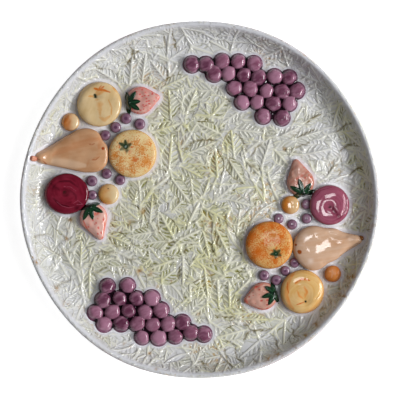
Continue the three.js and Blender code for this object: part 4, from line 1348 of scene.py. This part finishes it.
# Plums: dark red brushed round in arcs, with an eye
plumLook = {
    "left": {
        "look": {"height": 0.0078, "fullness": 0.42, "lumpy": 0.00010, "seed": 5,
                 "hollows": [((-0.0014, 0.0012), 0.0008, 0.0032)],
                 "creases": [(mmPath((-1.4, 1.2), (-8, 5), (-15, 6.5)), 0.0004, 0.0014)]},
        "paint": {**coats((126, 26, 48), (80, 3, 22), (134, 40, 60)),
                  "rings": (-0.0014, 0.0012), "ringEvery": 150, "streakShare": 0.95, "patchShare": 0.45,
                  "edge": tint(92, 10, 32),
                  "wash": tint(66, 4, 20), "stroke": tint(158, 74, 94), "ink": tint(20, 26, 16),
                  "gloss": 0.1, "shine": 0.35},
        "marks": {
            "ink": dots((-1.4, 1.2, 1.7)),
            "wash": dots((-11.5, 6.5, 3.4), (9.4, -12.4, 3.4), (12, -9, 2.4)) + [
                brushed(2.0, (-14, 9), (-10.5, 5.6), (-6, 3.4)),
                brushed(1.6, (-12, -4), (-6, -10), (2, -11.4)),
                brushed(1.4, (-6, 11), (3, 11.4), (10, 6)), brushed(1.2, (2, 4), (8, -1), (8.6, -6))],
            "stroke": [brushed(0.3, (-9, -7), (-4, -11), (2, -12.6), (7, -11.6)),
                       brushed(0.3, (6, -8.6), (10, -6), (14.6, -9.6)), brushed(0.35, (9, -9.6), (15, -9.4)),
                       brushed(0.25, (-3, 6.6), (4, 6), (9, 2))],
        },
    },
    "right": {
        "look": {"height": 0.0092, "fullness": 0.50, "lumpy": 0.00012, "seed": 15, "lumpSize": 0.022,
                 "hollows": [((0.0, -0.0016), 0.0009, 0.0036)],
                 "creases": [(mmPath((12, 12.4), (14.4, 5), (14.2, -4), (9, -12)), 0.0007, 0.0011),
                             (mmPath((0, -1.6), (5, -7), (9, -11)), 0.0006, 0.0018)]},
        "paint": {**coats((156, 82, 104), (128, 52, 76), (166, 100, 120)),
                  "rings": (0.0, -0.0016), "streakShare": 0.8, "patchShare": 0.35, "edge": tint(120, 36, 64),
                  "wash": tint(92, 18, 44), "stroke": tint(112, 28, 54), "ink": tint(16, 20, 18)},
        "marks": {
            "ink": dots((0, -1.6, 1.5)),
            "wash": dots((3.4, -3.0, 2.6), (8.6, -10.4, 3.0)) + [brushed(2.0, (3, -4), (7.4, -9.6))],
            "stroke": [brushed(0.4, (-14, 6), (-8, 13), (2, 16)),
                       brushed(0.3, (-15, -3), (-9, -4.6), (-4, -3)),
                       brushed(0.35, (12.4, 13), (15, 5), (14.6, -4), (9.4, -12.4))],
        },
    },
}

# Pears: flesh colour brushed along their length
pearLook = {
    "left": {
        "look": {"height": 0.0098, "fullness": 0.44, "lumpy": 0.00012, "seed": 8,
                 "creases": [(mmPath((-38, -4), (-20, -2.6), (0, 1.6), (14, 5.2)), 0.00022, 0.0012)]},
        "paint": {**coats((194, 148, 110), (178, 126, 86), (202, 164, 130)),
                  "brush": (8.8, 0.060, 0.0075), "streakShare": 0.7, "patchShare": 0.45,
                  "edge": tint(202, 156, 120), "wash": tint(186, 124, 82), "washShare": 0.6,
                  "stroke": tint(150, 70, 30), "ink": tint(150, 62, 24), "pale": tint(212, 178, 148),
                  "gloss": 0.1, "shine": 0.4},
        "marks": {
            "ink": dots((15.6, 1.7, 1.45)),
            "wash": [brushed(4.2, (-31, -3.4), (-12, 3), (4, 9), (12, 10)), brushed(2.6, (12, 2), (13.4, 9)),
                     brushed(2.0, (6, -8.6), (12, -6)), brushed(1.5, (1, -14), (3.4, -8))],
            "stroke": [brushed(0.8, (3.2, 5.6), (5.6, 5.2), (8.2, 6.0)),
                       brushed(0.9, (-43.4, -8.2), (-38, -12.2), (-29, -16.6)),
                       brushed(0.7, (-45, -7.4), (-47.5, -6.6)),
                       brushed(0.45, (6, -8.4), (9, -8.6), (12.4, -5.6))],
            "pale": [brushed(5.0, (-31, -9.4), (-20, -11), (-9, -13), (-1, -13.6))],
        },
    },
    "right": {
        "look": {"height": 0.0104, "fullness": 0.54, "lumpy": 0.00012, "seed": 19, "lumpSize": 0.024,
                 "creases": [(mmPath((8, 14), (20, 11), (32, 9.6)), 0.0007, 0.0018),
                             (mmPath((4, -15), (14, -12), (24, -7)), 0.0006, 0.0018)]},
        "paint": {**coats((208, 174, 148), (198, 154, 120), (214, 186, 164)),
                  "brush": (9.9, 0.055, 0.0050), "streakShare": 0.75, "patchShare": 0.3,
                  "edge": tint(204, 162, 128), "wash": tint(200, 148, 108), "washShare": 0.5,
                  "stroke": tint(146, 96, 40), "ink": tint(158, 78, 26), "pale": tint(226, 200, 182)},
        "marks": {
            "ink": dots((-17.2, 2.4, 1.1), (-13.8, -4.0, 2.0), (-14.6, -3.4, 1.4)),
            "wash": [brushed(3.0, (-10, 3), (10, 4), (30, 8)), brushed(2.4, (14, 1), (26, 5))],
            "stroke": [brushed(0.9, (28, 13.6), (31, 12.2), (36, 12.8)),
                       brushed(0.8, (22.6, -7.6), (25.0, -6.6)),
                       brushed(0.8, (37, 12.6), (39.4, 10))],
            "pale": dots((-4, -12, 3.0), (-8, 9, 3.0)),
        },
    },
}

pearStemLook = {
    "look": {"height": 0.0030, "fullness": 0.8, "lumpy": 0.0001},
    "left": {**coats((206, 140, 112), (186, 84, 54), (222, 176, 156)),
             "brush": (20, 0.004, 0.002), "edge": tint(150, 60, 34)},
    "right": {**coats((146, 88, 30), (112, 60, 18), (178, 122, 60)),
              "brush": (20, 0.004, 0.002), "edge": tint(110, 58, 16)},
}

# Apricots: coppery on one side, cream on the other
apricotLook = {
    "look": {"height": 0.0065, "fullness": 0.66, "lumpy": 0.00006},
    "outer_left": {**coats((190, 104, 24), (172, 86, 14), (216, 140, 56)),
                   "brush": (60, 0.006, 0.003), "side": (-8, 0.0110, tint(216, 190, 150)),
                   "wash": tint(172, 92, 22), "edge": tint(204, 146, 70)},
    "inner_left": {**coats((196, 134, 56), (202, 124, 40), (228, 180, 108)),
                   "brush": (80, 0.007, 0.0025), "side": (10, 0.010, tint(214, 190, 148)),
                   "ink": ink, "edge": tint(214, 170, 104)},
    "outer_right": {**coats((182, 106, 40), (180, 94, 26), (220, 152, 92)),
                    "brush": (75, 0.008, 0.0028), "wash": tint(206, 150, 112), "edge": tint(158, 84, 22),
                    "edgeFrom": 0.78},
    "inner_right": {**coats((186, 116, 42), (196, 112, 32), (226, 170, 96)),
                    "brush": (85, 0.006, 0.003), "side": (-14, 0.0085, tint(204, 170, 126)),
                    "edge": tint(208, 160, 92)},
    "marks": {"outer_left": {"wash": dots((-0.8, 0.2, 2.6))}, "inner_left": {"ink": dots((-0.2, 5.0, 0.55))},
              "outer_right": {"wash": [brushed(1.6, (-0.6, 3.6), (0.2, 0), (-0.4, -3.6))]},
              "inner_right": {}},
}

# Strawberries: pink, dabbed with red, under a fan of dark leaves
strawberryLook = {
    "look": {"height": 0.0080, "fullness": 0.60, "lumpy": 0.00016, "lumpSize": 0.007},
    "upper_left": {**coats((208, 158, 148), (200, 134, 122), (214, 172, 162)),
                   "brush": (10.7, 0.010, 0.005), "seeds": (0.0024, 0.95, tint(198, 58, 58)),
                   "wash": tint(220, 110, 100), "edge": tint(222, 128, 118), "edgeFrom": 0.84},
    "lower_left": {**coats((222, 176, 164), (212, 152, 138), (228, 192, 180)),
                   "brush": (-70.4, 0.012, 0.004), "seeds": (0.0032, 0.60, tint(206, 88, 80)),
                   "wash": tint(214, 92, 72), "edge": tint(214, 104, 88), "edgeFrom": 0.84},
    "lower_right": {**coats((190, 146, 130), (174, 110, 92), (202, 168, 156)),
                    "brush": (35, 0.012, 0.0028), "seeds": (0.0032, 0.30, tint(190, 84, 66)),
                    "streakShare": 0.9, "wash": tint(190, 100, 84), "edge": tint(190, 104, 88),
                    "edgeFrom": 0.84},
    "upper_right": {**coats((200, 154, 138), (190, 130, 112), (208, 172, 158)),
                    "brush": (11.8, 0.010, 0.005), "seeds": (0.0029, 0.86, tint(182, 54, 46)),
                    "wash": tint(206, 88, 70), "edge": tint(200, 84, 66), "edgeFrom": 0.84},
    "marks": {
        "upper_left": {"wash": [brushed(1.6, (-4, 10), (3, 11.6), (9, 9.4)), brushed(0.9, (9, 9), (12, 7)),
                                brushed(1.2, (14, 3), (17, 0))]},
        "lower_left": {"wash": [brushed(1.5, (-2, 3.6), (2, 2.4), (6, 5)),
                                brushed(1.2, (-9, -3), (-4, -14), (2, -20)),
                                brushed(0.9, (9, 0), (10, -8), (8, -15))]},
        "lower_right": {"wash": [brushed(1.3, (-12, -6), (-12.5, 2), (-9, 9)),
                                 brushed(1.4, (-4, 3), (2, 6.4)), brushed(1.0, (-6, -2), (0, 2))]},
        "upper_right": {"wash": [brushed(1.4, (-14, -6), (-17, 0), (-13, 5)),
                                 brushed(1.2, (-10, -10), (0, -12)), brushed(1.0, (-8, 7), (0, 11))]},
    },
}

berryLook = {
    "look": {"height": 0.0048, "fullness": 0.78, "lumpy": 0.00004},
    "paint": {**coats((136, 102, 122), (108, 74, 97), (154, 124, 144)),
              "brush": (30, 0.004, 0.002), "edge": tint(66, 38, 60), "edgeFrom": 0.74, "edgeShare": 0.75,
              "core": (tint(92, 57, 82), 0.46)},
}


def layFruit(node, glazeName, slotName, look, paint, marks, size):
    form = forms[node]
    makeFruit(form, look, fruitGlaze(glazeName, form, paint), slotName, marks, size)


for side in sides:
    for name, looks in (("apple", appleLook), ("orange", orangeLook), ("plum", plumLook), ("pear", pearLook)):
        look, paint, marks = (looks[side][key] for key in ("look", "paint", "marks"))
        layFruit(f"{name}_{side}", f"{name}Glaze_{side}", f"{name}_glaze", look, paint, marks, "large")
    look, paint = pearStemLook["look"], pearStemLook[side]
    layFruit(f"pear_stem_{side}", f"pearStemGlaze_{side}", "pear_stem_glaze", look, paint, {}, "small")
    for which in ("outer", "inner"):
        place = f"{which}_{side}"
        look, paint, marks = apricotLook["look"], apricotLook[place], apricotLook["marks"][place]
        layFruit(f"apricot_{place}", f"apricotGlaze_{place}", "apricot_glaze", look, paint, marks, "middling")
    for which in levels:
        place = f"{which}_{side}"
        look = dict(strawberryLook["look"], seed=len(which) + len(side) * 3)
        paint, marks = strawberryLook[place], strawberryLook["marks"][place]
        glazeName = f"strawberryGlaze_{place}"
        layFruit(f"strawberry_{place}", glazeName, "strawberry_glaze", look, paint, marks, "middling")
    berryGlaze = fruitGlaze(f"berryGlaze_{side}", forms[f"berry_1_{side}"], berryLook["paint"])
    for number in berryNumbers:
        look = dict(berryLook["look"], seed=number)
        makeFruit(forms[f"berry_{number}_{side}"], look, berryGlaze, "berry_glaze", {}, "small")
print("fruit laid")


def addBall(name, cuts, radius=1):
    bpy.ops.mesh.primitive_ico_sphere_add(subdivisions=cuts, radius=radius)
    ball = takePiece(name)
    return ball, readPoints(ball)


# Grapes: domes joined to a bed, melted into one skin
def makeBunch(which):
    deselectAll()
    places = grapes[which]
    draw = np.random.default_rng(bunchLook["seed"][which] + 1)
    parts = []
    full = bunchLook["fullness"]
    for x, y, size in places:
        grape, ball = addBall("grape", 5)
        across = np.hypot(ball[:, 0], ball[:, 1])
        angle = np.arctan2(ball[:, 1], ball[:, 0])
        bent = 1 + bunchLook["oval"] * np.cos(2 * angle + draw.uniform(0, bunchLook["turn"]))
        bent += bunchLook["knobs"] * np.cos(5 * angle + draw.uniform(0, bunchLook["turn"]))
        radius = size * bunchLook["width"] / 2 * across**full * bent
        tilt = draw.normal(0, bunchLook["tilt"], 2)
        plan = radius[:, None] * inPlan(angle)
        rise = bunchLook["height"] * draw.uniform(*bunchLook["rise"])
        high = np.sign(ball[:, 2]) * np.abs(ball[:, 2]) ** full * rise
        high += (plan @ tilt) * (ball[:, 2] > 0)
        movePoints(grape, np.column_stack([plan + (x, y), high]))
        pad, ball = addBall("pad", 3)
        flat = ball[:, :2] * size * bunchLook["bedWidth"] / 2 + (x, y)
        movePoints(pad, np.column_stack([flat, ball[:, 2] * bunchLook["bedHeight"]]))
        parts += [grape, pad]
    pickOnly(*parts)
    bpy.ops.object.join()
    bunch = takePiece("glazed_grape_bunch_" + which)
    bunch.data.remesh_voxel_size = bunchLook["grain"]
    bpy.ops.object.voxel_remesh()
    editAll(bunch)
    bpy.ops.mesh.vertices_smooth(factor=0.5, repeat=2)
    bpy.ops.object.mode_set(mode="OBJECT")
    bench = readPoints(bunch)
    high, slip = bench[:, 2], bunchLook["slipDepth"]
    bench[:, 2] = np.where(high < 0, slip * np.tanh(high / slip), high)  # sunk in the slip
    away = [np.hypot(bench[:, 0] - x, bench[:, 1] - y) / size for x, y, size in places]
    ratio = np.stack(away) / (bunchLook["width"] / 2)  # 1 on a grape's own outline
    tones = draw.uniform(0, 1, len(places))
    keepMask(bunch, "gap", np.clip(ratio.min(0), 0, 1.4))
    keepMask(bunch, "low", bench[:, 2] / mm)
    keepMask(bunch, "between", 1 - rampUp(np.sort(ratio, axis=0)[1], 1.15, 1.6))
    keepMask(bunch, "tone", tones[ratio.argmin(0)])
    movePoints(bunch, layOnDish(bench))
    return bunch


grapeColours = {
    "pale": tint(172, 124, 148),
    "body": tint(128, 76, 100),
    "dark": tint(88, 38, 64),
    "skirt": tint(88, 48, 72),
    # gap: near-black deep between the grapes, painted crevice shade over the dark bed
    "gap": tint(34, 8, 26),
}


def makeGrapeGlaze():
    material, shader, w = newMaterial("grapeGlaze")
    brush = w.group(brushGroup, Plan=w.turned(w.objectPoint(), (0, 0, 0), 25, (0.010, 0.004, 0.010)))
    tone, gap, low = w.mask("tone"), w.mask("gap"), w.mask("low")
    core = w.times(w.ramp(gap, 0.62, 0.25), w.ramp(tone, 0.45, 0.75), 0.75)
    layers = [
        (w.ramp(tone, 0.3, 0.9), "dark"),
        (w.times(w.ramp(tone, 0.35, 0.0), 0.8), "pale"),
        (w.times(brush["Streak"], 0.7), "pale"),
        (core, "dark"),
        (w.times(w.ramp(low, 3.2, 1.2), 0.8), "skirt"),
        # darker the deeper it lies between two grapes: painted crevice shade
        (w.times(w.ramp(low, 5.2, 3.0), w.mask("between"), 0.97), "gap"),
    ]
    colour = grapeColours["body"]
    for cover, name in layers:
        colour = w.mix(cover, colour, grapeColours[name])
    addGlaze(w, shader, colour, 0.2, 0.00006, 0.4)
    return material


grapeGlaze = makeGrapeGlaze()
for which in levels:
    bunch = makeBunch(which)
    finishPiece(bunch, grapeGlaze, "grape_glaze", "grape_bunch_" + which)
    print("grapes", which, "have", len(bunch.data.polygons), "faces")

# Leaf crowns: pointed leaves in a fan from a nub, draped over the strawberry's shoulder
crownLook = {
    "leaves": 5,
    "fan": 184,  # degrees from the first leaf to the last
    "leafLength": (0.0112, 0.0134),
    "leafWidth": 0.0047,
    "grow": {"upper": 1.0, "lower": 1.12},
    "leafHeight": 0.0013,
    "leafRoot": 0.0005,  # under the strawberry's skin
    "leafStray": 0.06,
    "nub": 0.0026,
    "nubInset": 0.6,  # of its radius, from the strawberry's blunt end
    "steps": (20, 9),
    "seed": 3,
}


def crownLeaf(heading, length, width, lift):  # a closed pointed leaf, flat on the bench
    long, wide = crownLook["steps"]
    bpy.ops.mesh.primitive_grid_add(x_subdivisions=long, y_subdivisions=wide, size=2)
    leaf = takePiece("leaf")
    editAll(leaf)
    bpy.ops.mesh.extrude_region_move(TRANSFORM_OT_translate={"value": (0, 0, 1)})
    bpy.ops.mesh.select_all(action="SELECT")
    bpy.ops.mesh.normals_make_consistent(inside=False)
    bpy.ops.object.mode_set(mode="OBJECT")
    flat = readPoints(leaf)
    share = (flat[:, 0] + 1) / 2
    half = width / 2 * np.maximum(np.sin(math.pi * np.clip(0.10 + 0.90 * share, 0, 1) ** 1.1), 0.0) ** 0.65
    half = np.maximum(half, 0.02 * width)
    arch = np.sqrt(np.maximum(1 - flat[:, 1] ** 2, 0)) * (1 - 0.25 * np.exp(-((flat[:, 1] / 0.2) ** 2)))
    thick = lift * (0.25 + 0.75 * arch) * (1 - 0.35 * share)
    high = np.where(flat[:, 2] > 0.5, thick, -crownLook["leafRoot"])
    plan = turnPlan(np.column_stack([share * length, flat[:, 1] * half]), heading)
    movePoints(leaf, np.column_stack([plan, high]))
    keepMask(leaf, "rib", np.abs(flat[:, 1]))
    keepMask(leaf, "reach", share)
    return leaf


def makeCrown(which, side):
    deselectAll()
    berry, berryForm = forms[f"strawberry_{which}_{side}"], strawberryLook["look"]
    draw = np.random.default_rng(crownLook["seed"] + len(which) * 7 + len(side))
    parts = []
    fan = math.radians(crownLook["fan"])
    for turn in np.linspace(-fan / 2, fan / 2, crownLook["leaves"]):
        length = draw.uniform(*crownLook["leafLength"]) * crownLook["grow"][which]
        length *= 0.86 + 0.14 * math.cos(turn)  # the outer leaves are shorter
        heading = turn + draw.normal(0, crownLook["leafStray"])
        parts.append(crownLeaf(heading, length, crownLook["leafWidth"], crownLook["leafHeight"]))
    nub, ball = addBall("nub", 4, crownLook["nub"])
    movePoints(nub, ball * (1, 1, 0.75))
    keepMask(nub, "rib", np.full(len(ball), 0.5))
    keepMask(nub, "reach", np.zeros(len(ball)))
    pickOnly(*parts, nub)
    bpy.ops.object.join()
    crown = takePiece(f"glazed_strawberry_crown_{which}_{side}")
    flat = readPoints(crown)
    local = flat[:, :2] + (crownLook["nubInset"] * crownLook["nub"] - berry["bulb"], 0)
    outline = outlineRadius(berry, np.arctan2(local[:, 1], local[:, 0]))
    share = np.clip(np.hypot(local[:, 0], local[:, 1]) / outline, 0, 1.2)
    full, tuck = berryForm["fullness"], domeForm["tuck"]
    fromCrown = np.arcsin(np.clip(share, 0, 1) ** (1 / full))
    skin = tuck + (berryForm["height"] - tuck) * np.cos(fromCrown) ** full
    skin = np.where(share > 1, tuck * (1 - rampUp(share, 1.0, 1.12)), skin)
    plan = turnPlan(local, berry["turn"]) + berry["middle"]
    movePoints(crown, layOnDish(np.column_stack([plan, skin + flat[:, 2]])))
    return crown


crownColours = {
    "body": tint(18, 56, 32),
    "dark": tint(8, 30, 18),
    "rib": tint(44, 92, 58),
    "edge": tint(30, 76, 48),
}


def makeCrownGlaze():
    material, shader, w = newMaterial("crownGlaze")
    brush = w.group(brushGroup, Plan=w.turned(w.objectPoint(), (0, 0, 0), 40, (0.004, 0.0015, 0.004)))
    rib = w.mask("rib")
    layers = [
        (brush["Streak"], "dark"),
        (w.times(w.ramp(rib, 0.22, 0.04), 0.6), "rib"),
        (w.times(w.ramp(rib, 0.8, 1.0), 0.35), "edge"),
        (w.ramp(w.mask("reach"), 0.25, 0.0), "dark"),
    ]
    colour = crownColours["body"]
    for cover, name in layers:
        colour = w.mix(cover, colour, crownColours[name])
    addGlaze(w, shader, colour, 0.25, 0.0001, 0.5)
    return material


crownGlaze = makeCrownGlaze()
for side in sides:
    for which in levels:
        crown = makeCrown(which, side)
        finishPiece(crown, crownGlaze, "crown_glaze", f"strawberry_crown_{which}_{side}")
print("crowns draped")

# Floor, light and camera
studio = {
    "cameraHeight": 3.0,
    "sensor": 36,  # millimetres
    "pixels": 400,
    "plateRadiusPixels": 179.24,
    "middlePixels": (199.7, 199.65),
    "window": {"tilt": 57, "bearing": -4, "away": 2.5, "watts": 25,
               "width": 0.8, "height": 0.45, "gap": 0.10},
    "fill": {"tilt": 40, "bearing": 0, "away": 2.5, "size": 1.7, "watts": 28},
    "paneHeight": 0.25,
    "paneSpread": 50,  # degrees, so that only the fruit under a pane mirrors it
    "paneWatts": 2.4,  # over a square metre
    "panes": [(0.0722, -0.0127, 0.037, 0.042, 0), (0.1269, -0.0245, 0.027, 0.025, 0),
              (0.128, 0.036, 0.045, 0.040, 20)],  # x, y, width, depth and turn
    "sky": 0.155,
    "skySeenInGlaze": 0.08,
    "floorSize": 6,
    "floorTones": ((0.955, 0.955, 0.955, 1), (0.965, 0.965, 0.965, 1)),
    "floorGlow": 0.72,
    "floorLight": 0.80,  # of that glow, what reaches the plate
}


def setStage():
    deselectAll()
    bpy.ops.mesh.primitive_plane_add(size=studio["floorSize"], location=(0, 0, 0))
    floor = takePiece("floor")
    material, shader, w = newMaterial("paleFloor")
    tone = w.ramp(w.noise(w.objectPoint(), 3, 2), 0.3, 0.7)
    seen = w.add("ShaderNodeLightPath").outputs["Is Camera Ray"]
    glow = studio["floorGlow"]
    w.feedAll(shader.inputs, {
        "Base Color": w.mix(tone, *studio["floorTones"]),
        "Roughness": 0.9,
        "Specular IOR Level": 0.0,
        "Emission Color": (1, 1, 1, 1),
        "Emission Strength": w.ramp(seen, 0.0, 1.0, studio["floorLight"] * glow, glow),
    })
    floor.data.materials.append(material)
    world = bpy.data.worlds.new("studio")
    bpy.context.scene.world = world
    world.use_nodes = True
    w = Wiring(world.node_tree)
    mirrored = w.add("ShaderNodeLightPath").outputs["Is Glossy Ray"]
    level = w.ramp(mirrored, 0.0, 1.0, studio["sky"], studio["skySeenInGlaze"])
    backdrop = world.node_tree.nodes["Background"]
    w.feedAll(backdrop.inputs, {"Color": (1.0, 1.0, 1.0, 1), "Strength": level})


def addWindow(name, place, aim, width, height, watts):
    bpy.ops.object.light_add(type="AREA", location=place)
    light = bpy.context.object
    light.name = name
    light.data.shape = "RECTANGLE"
    light.data.size = width
    light.data.size_y = height
    light.data.energy = watts
    away = np.array(aim) - np.array(place)
    flat = math.hypot(away[0], away[1])
    light.rotation_euler = (math.atan2(flat, -away[2]), 0, math.atan2(away[1], away[0]) - math.pi / 2)
    light.visible_camera = False
    return light


def lampWay(lamp):  # from the plate towards a lamp
    tilt, bearing = math.radians(lamp["tilt"]), math.radians(lamp["bearing"])
    return np.array([math.sin(tilt) * math.cos(bearing), math.sin(tilt) * math.sin(bearing), math.cos(tilt)])


def setLight():
    fill = studio["fill"]
    place = fill["away"] * lampWay(fill)
    light = addWindow("fill", place, (0, 0, 0), fill["size"], fill["size"], fill["watts"])
    light.visible_glossy = False  # it lights the clay without a reflection
    window = studio["window"]
    bearing = math.radians(window["bearing"])
    beside = np.array([-math.sin(bearing), math.cos(bearing), 0])
    for hand in (-0.5, 0.5):
        place = window["away"] * lampWay(window) + hand * (window["width"] + window["gap"]) * beside
        addWindow("window", place, (0, 0, 0), window["width"], window["height"], window["watts"])
    for x, y, width, depth, turn in studio["panes"]:
        spot = (x, y, studio["paneHeight"])
        pane = addWindow("pane", spot, (x, y, 0), width, depth, studio["paneWatts"] * width * depth)
        pane.rotation_euler = (0, 0, math.radians(turn))
        pane.data.spread = math.radians(studio["paneSpread"])
        pane.visible_diffuse = False  # seen in the glaze alone


def setCamera():
    perPixel = dish["radius"] / studio["plateRadiusPixels"]  # metres at the height of the lip
    half = studio["pixels"] / 2
    x = (half - studio["middlePixels"][0]) * perPixel
    y = (studio["middlePixels"][1] - half) * perPixel
    bpy.ops.object.camera_add(location=(x, y, studio["cameraHeight"]), rotation=(0, 0, 0))
    camera = bpy.context.object
    camera.data.sensor_width = studio["sensor"]
    away = studio["cameraHeight"] - dish["height"] + dish["lip"]
    camera.data.lens = camera.data.sensor_width * away / (studio["pixels"] * perPixel)
    bpy.context.scene.camera = camera


setStage()
setLight()
setCamera()
bpy.context.scene.view_settings.view_transform = "Standard"
print("stage, light and camera set")
